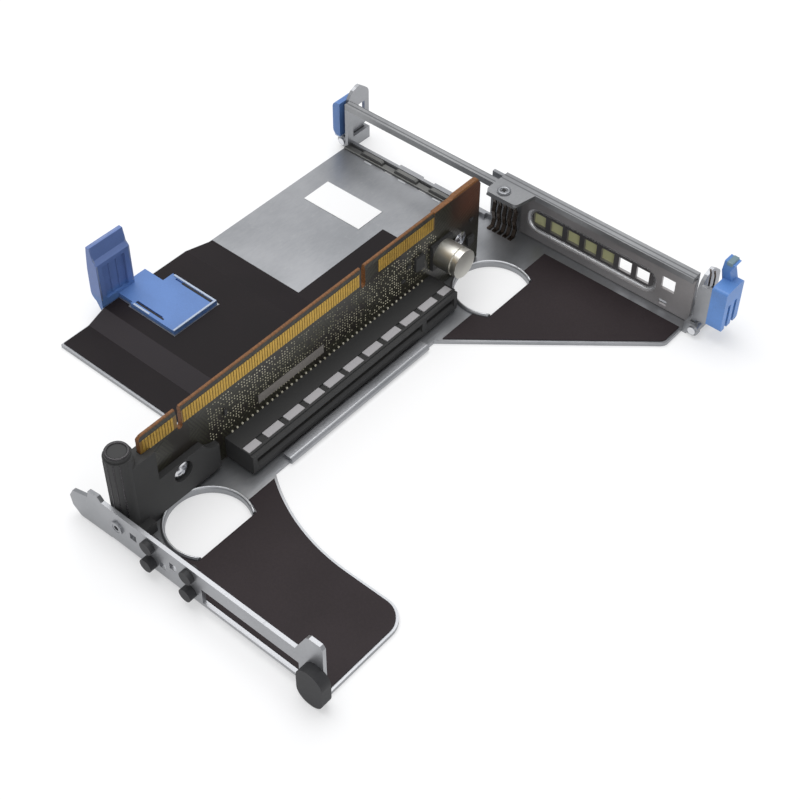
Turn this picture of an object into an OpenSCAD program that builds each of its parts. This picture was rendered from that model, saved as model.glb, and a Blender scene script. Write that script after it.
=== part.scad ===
// Riser cage bracket for a flat server: a folded steel tray that carries an
// upright riser board with one card slot, a slot cover, two card latches,
// insulating films and a touch handle. X runs from the flap to the wings, Y
// from the front flange to the slot wall, and Z up from the tray's underside.
// Inside the modules, y = 0 is the flange's outer face and x = 0 is the face
// of the board; placed() then moves the origin to the middle of the slot.

/* [Tray] */
// Thickness of the folded tray sheet
sheet_t = 1.2; // [0.8:0.1:1.5]
// Outer radius of the folds
fold_r = 1.8; // [1.6:0.1:3]
// Front face of the flange to the inner face of the slot wall
cage_len = 171.5; // [168:0.5:190]
// Face of the board to the hemmed edge of the spine
spine_edge = 14.2; // [13.6:0.2:18]
// How far the spine runs behind the face of the board
spine_back = 8; // [6:0.5:12]
// Width of the hem folded onto the edge of the spine
hem_w = 2.4; // [1.8:0.2:3]
// Front face to the near end of the hem
hem_start = 51; // [50:0.5:56]
// Slot wall to the far end of the hem
hem_end = 60.7; // [60:0.1:70]

/* [Wings] */
// Face of the board to the outer edge of the front wing
front_wing_reach = 74; // [70:0.2:82]
// Front face to the inner edge of the front wing
front_wing_depth = 32.9; // [32:0.1:38]
// Radius of the swept edge between the front wing and the spine
sweep_r = 65.6; // [60:0.2:72]
// Where the swept edge starts on the front wing
sweep_x = 52.5; // [48:0.1:56]
// Radius of the outer corner of the front wing
wing_corner_r = 7.5; // [4:0.1:10]
// Face of the board to the outer edge of the rear wing
rear_wing_reach = 67.7; // [66:0.1:76]
// Slot wall to the start of the rear wing
rear_wing_root = 57.2; // [52:0.1:59]
// Slot wall to the outer corner of the rear wing
rear_wing_side = 12.2; // [10:0.1:18]
// Radius of the outer corner of the rear wing
rear_corner_r = 3; // [1:0.5:5]

/* [Finger holes] */
// Radius of the finger holes
hole_r = 11.9; // [9:0.1:12.2]
// Centre of the finger holes to the straight side
hole_chord = 6.9; // [6:0.1:9]
// Face of the board to the centre of the finger holes
hole_x = 13.3; // [12.9:0.1:14]
// Front face to the centre of the front hole
front_hole_y = 20.2; // [19.6:0.1:23]
// Slot wall to the centre of the rear hole
rear_hole_y = 27.6; // [24:0.1:30]
// Width of the rolled lip round the finger holes
lip_w = 1.1; // [0.8:0.1:1.4]
// Height of the lip above the sheet
lip_h = 0.9; // [0.5:0.1:1.2]

/* [Flap] */
// Face of the board to the outer edge of the flap
flap_reach = 69.3; // [64:0.1:78]
// Front face to the front edge of the flap
flap_front = 39.8; // [38:0.1:46]
// Front face to the start of the raised step
step_start = 50.6; // [50:0.1:54]
// Length of the front ramp of the step
step_rise = 6.6; // [4:0.1:8]
// Front face to the end of the raised step
step_end = 91.8; // [90:0.1:96]
// Length of the rear ramp of the step
step_fall = 10.2; // [6:0.1:14]
// Height of the raised step
step_h = 2.7; // [2:0.1:3.5]
// Height of the low lip along the flap's slot opening
slot_lip_h = 2.9; // [2.4:0.1:3.2]

/* [Front flange] */
// Height of the front flange
flange_h = 13.8; // [13.4:0.1:18]
// Face of the board to the tip of the flange's arm
arm_reach = 18.8; // [16:0.1:24]
// Width of the raised tab at the flange's end
tab_w = 9.4; // [8:0.1:12]
// Height of the raised tab
tab_h = 22.3; // [20:0.1:26]
// Height of the long slot in the flange
flange_slot_h = 5.8; // [5:0.1:6.4]
// Bottom of the long slot
flange_slot_z = 2.6; // [2.4:0.1:3.2]
// Start of the long slot
flange_slot_x = 31.7; // [31.5:0.1:40]
// Side of the small square holes in the flange
flange_hole = 2.4; // [1.5:0.1:3]

/* [Slot wall] */
// Width of a card bracket between the tray and the rail
slot_w = 17.7; // [17.5:0.1:20]
// Thickness of the slot cover sheet
cover_t = 0.9; // [0.7:0.1:1.2]
// Face of the board to the near end of the slot cover
cover_start = 2.8; // [1:0.1:3.2]
// Length of the embossed pocket of the cover
pocket_len = 51.3; // [50:0.1:53]
// Height of the embossed pocket
pocket_w = 11.2; // [9:0.1:12]
// Depth of the embossed pocket
pocket_d = 1; // [0.9:0.1:2.5]
// Side of the square vents
vent = 4.7; // [3:0.1:5]
// Spacing of the square vents
vent_pitch = 6.6; // [6:0.05:6.8]
// Number of vents in the pocket
vent_count = 7; // [3:1:7]
// Depth of the rail's ledge
rail_d = 3.8; // [3.4:0.1:6]
// Height of the rail's folded lips
rail_lip = 2; // [1.8:0.1:2.6]
// Depth of the cross bar
bar_d = 2.8; // [2.6:0.1:3.4]
// Height of the cross bar
bar_h = 2.2; // [2:0.1:3.5]
// Width of the divider between the two slots
divider_w = 14; // [12:0.5:16]

/* [Riser board] */
// Length of the board
board_len = 141.1; // [140:0.1:146]
// Height of the board's top edge above the tray's underside
board_top = 33; // [32:0.2:38]
// Thickness of the board
board_t = 1.6; // [1.2:0.1:2]
// Front face of the flange to the front edge of the board
board_start = 11.6; // [11.4:0.1:13]
// Width of the notches between the contact groups
key_w = 1.8; // [1.5:0.1:2.2]
// Depth of the notches
key_d = 7.6; // [5:0.1:8]
// Length of the first contact group
group_a = 12.6; // [12.1:0.1:13.6]
// Length of the second contact group
group_b = 70.8; // [68:0.1:72]
// Length of the third contact group
group_c = 25.5; // [20:0.1:27]
// Gap between the second and the third contact group
group_gap = 8; // [6:0.1:9]
// Spacing of the edge contacts
finger_pitch = 1; // [1:0.1:1.5]
// Height of the edge contacts
finger_h = 4.6; // [3:0.1:5]

/* [Card slot] */
// Length of the card slot housing
slot_len = 89; // [87:1:90]
// Front face of the flange to the near end of the slot
slot_start = 40.4; // [40:0.1:43]
// Height of the slot housing off the board
slot_h = 10.8; // [10.4:0.1:11.6]
// Width of the slot housing
slot_body_w = 7.6; // [7.2:0.1:8.2]
// Gap between the tray and the slot housing
slot_gap = 0.4; // [0.3:0.1:0.9]
// Width of the card groove
groove_w = 1.8; // [1.7:0.05:2]
// Depth of the card groove
groove_d = 8; // [7:0.1:8.4]
// Near end of the housing to the groove's key
groove_key = 72.5; // [70:0.5:74]
// Number of light windows along the housing
window_count = 11; // [5:1:11]
// Length of a window
window_len = 6.4; // [4:0.1:7]
// Width of a window
window_w = 2.8; // [2:0.1:4]

/* [Board support and screws] */
// Radius of the guide post
post_r = 4; // [3.5:0.1:4.4]
// Height of the guide post above the tray's underside
post_top = 32; // [28:0.5:36]
// Radius of the screw shanks
screw_r = 1.5; // [1.2:0.1:1.6]
// Radius of the screw heads
screw_head_r = 2.8; // [2.6:0.1:3.6]
// Height of the front screw
front_screw_z = 11.8; // [11:0.1:13]
// Height of the rear screw
rear_screw_z = 15.6; // [14:0.1:18]

/* [Capacitor] */
// Radius of the capacitor can
can_r = 4.8; // [4:0.1:5.4]
// Length of the capacitor can
can_len = 8.4; // [6:0.2:10]

/* [Films] */
// Thickness of the insulating films
film_t = 0.35; // [0.2:0.05:0.6]
// Bare margin of sheet round the films
film_margin = 0.8; // [0.8:0.1:2]

/* [Handle] */
// Width of the upright touch plate
touch_w = 13.4; // [12:0.1:16]
// Height of the touch plate above the tray's underside
touch_top = 26.2; // [22:0.1:32]
// Front face to the near side of the touch plate
touch_start = 57.2; // [57:0.1:60]
// Length of the clip plate
clip_len = 25; // [20:0.5:28]
// Width of the clip plate
clip_w = 17.8; // [16:0.1:20]
// Thickness of the clip plate
clip_t = 1.4; // [1:0.1:2]

/* [Latches] */
// Radius of the latch hinge pins
pin_r = 0.8; // [0.6:0.05:0.9]
// Running clearance of the latches on their pins
pin_gap = 0.05; // [0.03:0.01:0.08]
// Height of the latch hinges
hinge_z = 2.6; // [2.4:0.1:3]
// Outer radius of the latch knuckles
knuckle_r = 1.6; // [1.5:0.05:1.8]
// Height of the latch plates
latch_top = 22.4; // [22:0.1:26]
// Reach of the latch plates past the slot wall
latch_reach = 7.8; // [7:0.2:10]
// Side play of the latches
latch_gap = 0.3; // [0.25:0.05:0.5]
// Thickness of the left thumb pad
left_pad_t = 3.1; // [3:0.1:5]
// Thickness of the right thumb body
right_body_t = 5.2; // [4:0.1:6]

/* [Hidden] */
$fn = 48;

// The origin lies under the middle of the card slot.
origin_y = slot_start + slot_len / 2;
eps = 0.01;

// Tray
plateau_z = step_h + sheet_t;
wall_y = cage_len + cover_t;
frame_top = sheet_t + slot_w;
rail_z = frame_top + sheet_t;
rail_lip_t = 0.8;
hem_y1 = cage_len - hem_end;
rear_hole = cage_len - rear_hole_y;
spine_corner = 4;
divider_x = cover_start + 1.2 - divider_w;
ear_depth = 3.4;
flap_end = cage_len - 1;
guide_h = 2.8;
guide_start = 22;
guide_pitch = 15;
guide_len = 10;
guide_bump = 0.7;
ear_y0 = cage_len - ear_depth;
ear_y1 = wall_y + 6.4;
lug_r = 2;
left_ear = -flap_reach;
right_ear = rear_wing_reach + 1.6;
left_hinge = left_ear - knuckle_r - latch_gap;
right_hinge = right_ear + knuckle_r + latch_gap;
lug_h = hinge_z + lug_r;

// Rail and bar
rail_y1 = wall_y + sheet_t;
rail_y0 = rail_y1 - rail_d;
bar_y1 = cage_len - 1.1;
bar_y0 = bar_y1 - bar_d;
bar_t = 0.8;
tab_x1 = 7.6;
tab_x0 = -5;
tab_y0 = cage_len - 9.6;
stud_at = [0, tab_y0 + 3.4];
rivet_r = 1.6;

// Board
board_bottom = sheet_t + 0.3;
board_end = board_start + board_len;
key_a = board_start + group_a + 0.4;
group_b_start = key_a + key_w;
group_c_start = group_b_start + group_b + group_gap;
finger_t = 0.12;
finger_top = board_top - 1.6;
bevel = 0.45;
bevel_h = 1.5;

// Card slot
slot_z0 = sheet_t + slot_gap;
slot_z1 = slot_z0 + slot_body_w;
slot_mid = (slot_z0 + slot_z1) / 2;
slot_end = slot_start + slot_len;
window_pitch = (slot_len - 5) / (window_count - 1);
window_x = slot_h - 3.1;
window_end = 0.5;
window_d = 0.6;
contact_w = 0.5;

// Screws and stands
front_screw_y = board_start + 11.4;
rear_screw_y = board_end - 10.4;
stand_x = -board_t;
stand_w = 10;
support_t = 2;
head_t = 1.7;
post_x = -board_t / 2 - 1;
post_y = sheet_t + post_r + 0.4;

// Capacitor
can_y = slot_end + 4.4;
can_z = rear_screw_z + 0.6;
base_t = 1.2;

// Flange
bumper_x = [12.9, 27.5];
bumper_r = 2.1;
bumper_z = [4.4, 10.8];
bumper_hole = 1.2;
flange_holes = [[6.4, 8.7], [17.3, 5.9], [21.3, 8.7]];
rivet_x = 0.4;
rivet_z = 8.2;
end_bumper_w = 8.6;
end_bumper_h = 13;
end_bumper_t = 3.4;
end_bumper_x = front_wing_reach - end_bumper_w / 2 + 2.4;

// Latches
latch_y0 = ear_y0 + sheet_t + latch_gap;
latch_y1 = wall_y + latch_reach;
knuckle_y1 = ear_y1 - sheet_t - latch_gap;
plate_bottom = lug_h + 1.2;
pad_bottom = lug_h + 1;
right_body_x = right_hinge + 3.1;

// Shared shapes

// Moves the finished piece from the flange's frame to the part's frame.
module placed() translate([0, -origin_y, 0]) children();

// A block from one corner to the opposite one.
module block(a, b) translate(a) cube(b - a);

// Extrudes a (Y, Z) profile along X.
module along_x(x0, x1) translate([x0, 0, 0]) rotate([90, 0, 90]) linear_extrude(x1 - x0) children();

// Extrudes an (X, Z) profile along Y.
module along_y(y0, y1) translate([0, y1, 0]) rotate([90, 0, 0]) linear_extrude(y1 - y0) children();

// A round bar along X or Y.
module rod_x(x0, x1, y, z, r) translate([x0, y, z]) rotate([0, 90, 0]) cylinder(h = x1 - x0, r = r);
module rod_y(y0, y1, x, z, r) translate([x, y1, z]) rotate([90, 0, 0]) cylinder(h = y1 - y0, r = r);

function arc_pts(c, r, a0, a1, n = 6) = [for (i = [0:n]) c + r * [cos(a0 + (a1 - a0) * i / n), sin(a0 + (a1 - a0) * i / n)]];
function reversed(p) = [for (i = [len(p) - 1:-1:0]) p[i]];

// A rectangle with rounded corners.
module round_rect(size, r) {
    translate([r, 0]) square([size.x - 2 * r, size.y]);
    translate([0, r]) square([size.x, size.y - 2 * r]);
    for (x = [r, size.x - r], y = [r, size.y - r]) translate([x, y]) circle(r);
}

// Outline of the front wing, drawn inwards by m for a film.
module front_wing_2d(x0, m = 0) {
    edge_x = front_wing_reach - m;
    edge_y = front_wing_depth - m;
    corner = wing_corner_r - m;
    difference() {
        union() {
            translate([x0, fold_r]) square([edge_x - x0, edge_y - corner - fold_r]);
            translate([x0, fold_r]) square([edge_x - corner - x0, edge_y - fold_r]);
            translate([edge_x - corner, edge_y - corner]) circle(corner);
            translate([x0, fold_r]) square([sweep_x - x0, hem_start - fold_r]);
        }
        translate([sweep_x, front_wing_depth + sweep_r]) circle(sweep_r + m, $fn = 160);
    }
}

// Outline of the rear wing, drawn inwards by m for a film.
module rear_wing_2d(x0, m = 0) {
    root = [spine_edge, cage_len - rear_wing_root];
    tip = [rear_wing_reach, cage_len - rear_wing_side];
    run = tip - root;
    normal = [-run.y, run.x] / norm(run);
    a = root + normal * m;
    b = tip + normal * m;
    slope = run.y / run.x;
    edge_x = rear_wing_reach - m;
    start_y = a.y + (x0 - a.x) * slope;
    end_y = b.y + (edge_x - b.x) * slope;
    blend = atan(slope);
    reach = rear_corner_r * tan((90 - blend) / 2);
    c = [edge_x - rear_corner_r, end_y + reach];
    polygon(concat([[x0, start_y]], arc_pts(c, rear_corner_r, blend - 90, 0), [[edge_x, cage_len], [x0, cage_len]]));
}

// A finger hole: a circle with one straight side.
module finger_hole_2d(y, r) translate([hole_x, y]) intersection() {
    circle(r);
    translate([-2 * r, -r]) square([2 * r + hole_chord, 2 * r]);
}

// The rolled lip round a finger hole, open along the straight side.
module finger_lip(y) translate([hole_x, y, 0]) intersection() {
    rotate_extrude($fn = 96) translate([hole_r, 0]) {
        square([lip_w, sheet_t + lip_h - lip_w / 2]);
        translate([lip_w / 2, sheet_t + lip_h - lip_w / 2]) circle(lip_w / 2);
    }
    translate([-2 * hole_r, -2 * hole_r, 0]) cube([2 * hole_r + hole_chord, 4 * hole_r, 2 * sheet_t + lip_h]);
}

// The stepped section of the flap, lifted by z and t thick.
function flap_line(z) = [
    [flap_front, z], [step_start, z], [step_start + step_rise, z + step_h], [step_end, z + step_h],
    [step_end + step_fall, z], [flap_end, z]
];
module flap_section(z, t) polygon(concat(flap_line(z), reversed(flap_line(z + t))));

// One ear of a latch hinge, with two lugs turned outwards; side is -1 or 1.
module hinge_ear(face, side) {
    hinge = face + side * (knuckle_r + latch_gap);
    difference() {
        union() {
            block([min(face, face - side * sheet_t), ear_y0, 0], [max(face, face - side * sheet_t), ear_y1, lug_h]);
            for (y = [ear_y0, ear_y1 - sheet_t]) {
                block([min(face - side * sheet_t, hinge), y, hinge_z - lug_r],
                      [max(face - side * sheet_t, hinge), y + sheet_t, lug_h]);
                rod_y(y, y + sheet_t, hinge, hinge_z, lug_r);
            }
        }
        rod_y(ear_y0 - 1, ear_y1 + 1, hinge, hinge_z, pin_r + 0.02);
    }
}

// A stand folded up behind the board, tapped for a board screw.
module board_stand(y, z) difference() {
    block([stand_x - sheet_t, y - stand_w / 2, 0], [stand_x, y + stand_w / 2, z + stand_w / 2]);
    rod_x(stand_x - 2 * sheet_t, stand_x + 1, y, z, screw_r);
}

// Tray

module flange_outline() {
    tab_x = front_wing_reach - tab_w;
    polygon([
        [-3, sheet_t], [-arm_reach + 3.5, 0.6], [-arm_reach + 0.6, 3], [-arm_reach, 6.6], [-arm_reach + 1.6, 9.6],
        [-arm_reach + 8, 11.8], [-arm_reach + 8.6, 14.6], [-6.4, flange_h + 1.4], [-5, flange_h],
        [tab_x, flange_h], [tab_x + 4, tab_h - 0.6], [tab_x + 5, tab_h], [front_wing_reach - 0.8, tab_h],
        [front_wing_reach, tab_h - 1], [front_wing_reach, fold_r], [-3, fold_r]
    ]);
}

module front_flange() difference() {
    union() {
        along_y(0, sheet_t) flange_outline();
        // Fold between the flange and the floor
        along_x(-3, front_wing_reach) polygon(concat(
            arc_pts([fold_r, fold_r], fold_r, 270, 180), reversed(arc_pts([fold_r, fold_r], fold_r - sheet_t, 270, 180))
        ));
    }
    for (p = flange_holes)
        block([p.x - flange_hole / 2, -1, p.y - flange_hole / 2], [p.x + flange_hole / 2, sheet_t + 1, p.y + flange_hole / 2]);
    block([flange_slot_x, -1, flange_slot_z], [front_wing_reach - tab_w + 1, sheet_t + 1, flange_slot_z + flange_slot_h]);
    for (x = bumper_x, z = bumper_z) rod_y(-1, sheet_t + 1, x, z, bumper_hole);
    rod_y(-1, sheet_t + 1, rivet_x, rivet_z, rivet_r);
}

module floor_sheet() linear_extrude(sheet_t) difference() {
    union() {
        translate([-spine_back, flap_front]) square([spine_back + spine_edge, flap_end - flap_front]);
            translate([divider_x, cage_len - 20]) square([spine_edge - divider_x, 20 + cover_t + sheet_t]);
        translate([-3, fold_r]) square([3 + spine_edge, flap_front]);
        front_wing_2d(0);
        rear_wing_2d(spine_edge - 1);
        translate([spine_edge - 1, cage_len - 1]) square([rear_wing_reach - spine_edge + 1, 1 + cover_t + sheet_t]);
        translate([rear_wing_reach - 1, ear_y0]) square([right_ear - rear_wing_reach + 1, wall_y + sheet_t - ear_y0]);
    }
    finger_hole_2d(front_hole_y, hole_r);
    finger_hole_2d(rear_hole, hole_r);
}

module spine_hem() {
    along_y(hem_start, hem_y1) {
        translate([spine_edge - hem_w, sheet_t - eps]) square([hem_w, sheet_t + eps]);
        intersection() {
            translate([spine_edge, sheet_t]) circle(sheet_t);
            translate([spine_edge - eps, 0]) square(2 * sheet_t);
        }
    }
}

module flap() {
    along_x(-flap_reach, -spine_back) flap_section(0, sheet_t);
    // Closed side of the raised step, next to the spine
    along_x(-spine_back - sheet_t, -spine_back) polygon([
        [step_start, 0], [step_start + step_rise, step_h], [step_end, step_h], [step_end + step_fall, 0]
    ]);
}

module slot_frame() {
    // Low lip below the slot cover
    along_x(divider_x, rear_wing_reach) translate([wall_y, 0]) square([sheet_t, slot_lip_h]);
    // Scalloped card guide along the flap's opening
    along_x(-flap_reach, divider_x) translate([flap_end - sheet_t, 0]) square([sheet_t, guide_h]);
    for (i = [0:2]) block([-flap_reach + guide_start + i * guide_pitch, flap_end - 0.2, sheet_t],
                          [-flap_reach + guide_start + guide_len + i * guide_pitch, flap_end + guide_bump, guide_h]);
    block([divider_x, wall_y, 0], [divider_x + divider_w, wall_y + sheet_t, frame_top]);
    block([rear_wing_reach - 5, wall_y, 0], [rear_wing_reach, wall_y + sheet_t, frame_top]);
    hinge_ear(left_ear, -1);
    hinge_ear(right_ear, 1);
    // Post that carries the outer end of the cross bar
    block([left_ear, bar_y0, 0], [left_ear + sheet_t, bar_y1, frame_top - bar_h]);
}

module tray() placed() color("silver") {
    difference() {
        union() {
            floor_sheet();
            flap();
        }
        for (i = [0:2]) block([-flap_reach + guide_start - 4 + i * guide_pitch, flap_end - 4.4, -1],
                              [-flap_reach + guide_start + i * guide_pitch, flap_end - 3, sheet_t + 1]);
    }
    finger_lip(front_hole_y);
    finger_lip(rear_hole);
    spine_hem();
    front_flange();
    slot_frame();
    board_stand(front_screw_y, front_screw_z);
    board_stand(rear_screw_y, rear_screw_z);
}

// Slot wall

module top_rail() placed() color("gainsboro") difference() {
    union() {
        along_x(tab_x0, rear_wing_reach) {
            translate([rail_y0, frame_top]) square([rail_d, sheet_t]);
        }
        along_x(tab_x1 + 1.4, rear_wing_reach) translate([rail_y0, rail_z - rail_lip]) square([rail_lip_t, rail_lip]);
        translate([0, 0, frame_top]) linear_extrude(sheet_t) polygon(concat(
            [[tab_x0, rail_y0 + 1]], arc_pts([tab_x0 + 2, tab_y0 + 2], 2, 180, 270),
            arc_pts([tab_x1 - 2, tab_y0 + 2], 2, 270, 330), [[tab_x1 + 1.4, rail_y0 + 1]]
        ));
    }
    translate([stud_at.x, stud_at.y, frame_top - 1]) cylinder(h = sheet_t + 2, r = rivet_r);
}

module cross_bar() placed() color("gainsboro") difference() {
    union() {
        along_x(left_ear, cover_start - 0.2) {
            translate([bar_y0, frame_top - bar_t]) square([bar_d, bar_t]);
            for (y = [bar_y0, bar_y1 - bar_t]) translate([y, frame_top - bar_h]) square([bar_t, bar_h]);
        }
        // Foot under the rail's tab
        block([tab_x0 + 0.4, tab_y0 + 0.4, frame_top - bar_t], [tab_x1 - 1, bar_y0 + bar_t, frame_top]);
    }
    translate([stud_at.x, stud_at.y, 0]) cylinder(h = rail_z, r = rivet_r);
}

pocket_z = slot_lip_h + 0.3 + pocket_w / 2;
pocket_x = cover_start + 1.6;
cover_z0 = sheet_t + 0.2;
cover_z1 = rail_z - rail_lip - 0.1;
vent_x0 = pocket_x + 5.2;

module vents() {
    for (i = [0:vent_count - 1]) translate([vent_x0 + i * vent_pitch, pocket_z]) square(vent, center = true);
}

module pocket_2d(m) {
    translate([pocket_x + m, pocket_z - pocket_w / 2 + m])
        round_rect([pocket_len - 2 * m, pocket_w - 2 * m], pocket_w / 2 - m - 0.4);
}

module slot_cover() placed() color("silver") {
    difference() {
        along_y(cage_len, wall_y) translate([cover_start, cover_z0])
            square([rear_wing_reach - cover_start, cover_z1 - cover_z0]);
        along_y(cage_len - 1, wall_y + 1) {
            pocket_2d(0);
            translate([rear_wing_reach - 8.8, pocket_z + 2.6]) square(vent, center = true);
            translate([rear_wing_reach - 11.4, sheet_t + 1.4]) square([3, 2]);
        }
    }
    along_y(cage_len, wall_y + pocket_d) difference() {
        pocket_2d(0);
        pocket_2d(cover_t);
    }
    along_y(wall_y + pocket_d - cover_t, wall_y + pocket_d) difference() {
        pocket_2d(0.2);
        vents();
    }
}

module vent_backing() placed() color("khaki") {
    along_y(wall_y + pocket_d, wall_y + pocket_d + 0.3)
        translate([vent_x0 - vent / 2 - 0.8, pocket_z - vent / 2 - 0.8]) square([4 * vent_pitch + vent + 1.6, vent + 1.6]);
}

module rail_stud() placed() color("dimgray") {
    p = stud_at;
    translate([p.x, p.y, frame_top - bar_t]) cylinder(h = bar_t + sheet_t, r = rivet_r);
    translate([p.x, p.y, rail_z]) cylinder(h = 0.4, r = rivet_r + 0.7);
}

// Films

module front_film() placed() color("black") translate([0, 0, sheet_t]) linear_extrude(film_t) difference() {
    front_wing_2d(hole_x + 2.4, film_margin);
    finger_hole_2d(front_hole_y, hole_r);
    intersection() {
        translate([hole_x, front_hole_y]) circle(hole_r + lip_w + 0.2);
        translate([0, 0]) square([hole_x + hole_chord + 0.2, 2 * front_hole_y]);
    }
}

module rear_film() placed() color("black") translate([0, 0, sheet_t]) linear_extrude(film_t) difference() {
    intersection() {
        rear_wing_2d(hole_x + 2.4, film_margin);
        square([rear_wing_reach - film_margin, ear_y0 - 0.3]);
    }
    finger_hole_2d(rear_hole, hole_r);
    intersection() {
        translate([hole_x, rear_hole]) circle(hole_r + lip_w + 0.2);
        translate([0, rear_hole - 2 * hole_r]) square([hole_x + hole_chord + 0.2, 4 * hole_r]);
    }
}

film_y1 = step_end + step_fall + 1;
film_x1 = -spine_back;
clip_x0 = -flap_reach + 5.8;
clip_y0 = touch_start + 6;

module flap_film() placed() color("black") intersection() {
    along_x(-flap_reach + 0.4, film_x1) flap_section(sheet_t, film_t);
    linear_extrude(4 * plateau_z) difference() {
        union() {
            translate([-flap_reach, flap_front + film_margin]) square([flap_reach, film_y1 - flap_front - film_margin]);
            translate([-31, film_y1 - 1]) square([31, 41]);
        }
        translate([clip_x0 - 0.7, clip_y0 - 0.7]) square([clip_len - 5.8 + 1.4, clip_w + 1.4]);
        translate([-flap_reach - 1, clip_y0]) square([7, clip_w - 3.4]);
    }
}

module flap_label() placed() color("white") translate([-flap_reach + 8.2, step_end + step_fall + 36, sheet_t]) cube([24, 11.6, 0.2]);

// Handle

module touch_handle() placed() color("royalblue") {
    wall_x = -flap_reach - 0.3;
    // Clip plate on the raised step, with a narrow neck and two side rails
    difference() {
        union() {
            block([clip_x0, clip_y0, plateau_z], [clip_x0 + clip_len - 5.8, clip_y0 + clip_w, plateau_z + clip_t]);
            block([wall_x - 2, clip_y0 + 0.8, plateau_z], [clip_x0 + 1, clip_y0 + clip_w - 4.2, plateau_z + clip_t]);
        }
        block([clip_x0 + 2.5, clip_y0 + clip_w - 1.5, plateau_z + clip_t - 0.6],
              [clip_x0 + 13, clip_y0 + clip_w - 0.9, plateau_z + clip_t + 1]);
        block([clip_x0 + 1, clip_y0 + 1.6, plateau_z + clip_t - 0.6], [clip_x0 + 12, clip_y0 + 2.2, plateau_z + clip_t + 1]);
    }
    // Upright plate with a flared lip and a hollowed inner face
    difference() {
        along_y(touch_start, touch_start + touch_w) polygon(concat(
            [[wall_x, 2.2], [wall_x, touch_top - 6], [wall_x - 1.2, touch_top - 4.6], [wall_x - 2, touch_top]],
            [[wall_x - 3.4, touch_top], [wall_x - 3.8, touch_top - 3], [wall_x - 4.4, touch_top - 9]],
            arc_pts([wall_x - 1.6, 8], 3, 180, 250, 4), [[wall_x - 1, 2.2]]
        ));
        block([wall_x - 1, touch_start + 2.2, 6.2], [wall_x + 1, touch_start + touch_w - 2.2, touch_top - 7.4]);
    }
}

// Riser board and its parts

module board_2d() difference() {
    polygon([
        [board_start, board_bottom], [board_end, board_bottom], [board_end, board_top - 2], [board_end - 1.4, board_top + 0.4],
        [board_end - 3, board_top + 0.6], [board_end - 12.6, board_top + 0.6], [board_end - 13.8, board_top], [board_start + 1, board_top],
        [board_start, board_top - 1]
    ]);
    for (y = [key_a, group_b_start + group_b + 0.5]) translate([y, board_top - key_d]) {
        translate([0, key_w / 2]) square([key_w, key_d]);
        translate([key_w / 2, key_w / 2]) circle(key_w / 2);
    }
}

module riser_board() placed() color("darkgreen") difference() {
    along_x(-board_t, 0) board_2d();
    // Bevels along both sides of the contact edge
    for (side = [0, 1]) along_y(board_start - 1, group_c_start + group_c) polygon(side == 0 ?
        [[-bevel, board_top + eps], [eps, board_top - bevel_h], [eps, board_top + eps]] :
        [[-board_t + bevel, board_top + eps], [-board_t - eps, board_top - bevel_h], [-board_t - eps, board_top + eps]]);
    for (p = [[front_screw_y, front_screw_z], [rear_screw_y, rear_screw_z]]) rod_x(-board_t - 1, 1, p.x, p.y, screw_r);
}

finger_groups = [[board_start + 0.8, group_a - 0.8], [group_b_start + 0.4, group_b - 0.8], [group_c_start, group_c]];

module edge_contacts() placed() color("gold") {
    for (g = finger_groups, i = [0:floor(g.y / finger_pitch) - 1]) {
        y = g.x + (i + 0.14) * finger_pitch;
        block([0, y, finger_top - finger_h], [finger_t, y + 0.72 * finger_pitch, finger_top]);
        block([-board_t - finger_t, y, finger_top - finger_h], [-board_t, y + 0.72 * finger_pitch, finger_top]);
    }
}

function window_y(i) = slot_start + 3 + i * window_pitch;
function window_size(i) = (i == 0 || i == window_count - 1) ? window_len - 1.4 : window_len;

module window_pads(z, h, m) for (i = [0:window_count - 1])
    block([window_x - window_w / 2 + m, max(window_y(i) - window_size(i) / 2, slot_start + window_end), z],
          [window_x + window_w / 2 - m, min(window_y(i) + window_size(i) / 2, slot_end - window_end), z + h]);

module slot_housing() placed() color("#202020") difference() {
    union() {
        block([0, slot_start, slot_z0], [slot_h, slot_end, slot_z1]);
        block([0, slot_start - 0.001, slot_z0 + 1.2], [slot_h - 3, slot_start + 1, slot_z1 - 1.2]);
    }
    // Card groove in two lengths, with the key between them
    for (s = [[slot_start + 1.6, slot_start + groove_key], [slot_start + groove_key + 1.9, slot_end - 1.4]]) {
        block([slot_h - groove_d, s.x, slot_mid - groove_w / 2], [slot_h + 1, s.y, slot_mid + groove_w / 2]);
        along_y(s.x, s.y) polygon([
            [slot_h - 0.8, slot_mid - groove_w / 2], [slot_h + eps, slot_mid - groove_w / 2 - 0.8],
            [slot_h + eps, slot_mid + groove_w / 2 + 0.8], [slot_h - 0.8, slot_mid + groove_w / 2]
        ]);
    }
    // Trough that holds the light windows
    block([window_x - window_w / 2, slot_start + window_end - 0.1, slot_z1 - window_d],
          [window_x + window_w / 2, slot_end - window_end + 0.1, slot_z1 + 1]);
    // Steps along the long sides
    block([slot_h - 1, slot_start - 1, slot_z1 - 0.5], [slot_h + 1, slot_end + 1, slot_z1 + 1]);
    block([slot_h - 1, slot_start - 1, slot_z0 - 1], [slot_h + 1, slot_end + 1, slot_z0 + 0.5]);
}

module slot_windows() placed() color("lightgray") window_pads(slot_z1 - window_d, window_d - 0.2, 0.05);

module slot_contacts() placed() color("gold") {
    for (s = [[slot_start + 2.2, slot_start + groove_key], [slot_start + groove_key + 2.6, slot_end - 1.4]])
        for (i = [0:floor(s.y - s.x - 2 * contact_w)], side = [-1, 1]) {
            z = slot_mid + side * (groove_w / 2 - 0.2);
            block([slot_h - groove_d + 0.6, s.x + i, min(z, z + side * 0.2)], [slot_h - 2, s.x + i + contact_w, max(z, z + side * 0.2)]);
        }
}

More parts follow.
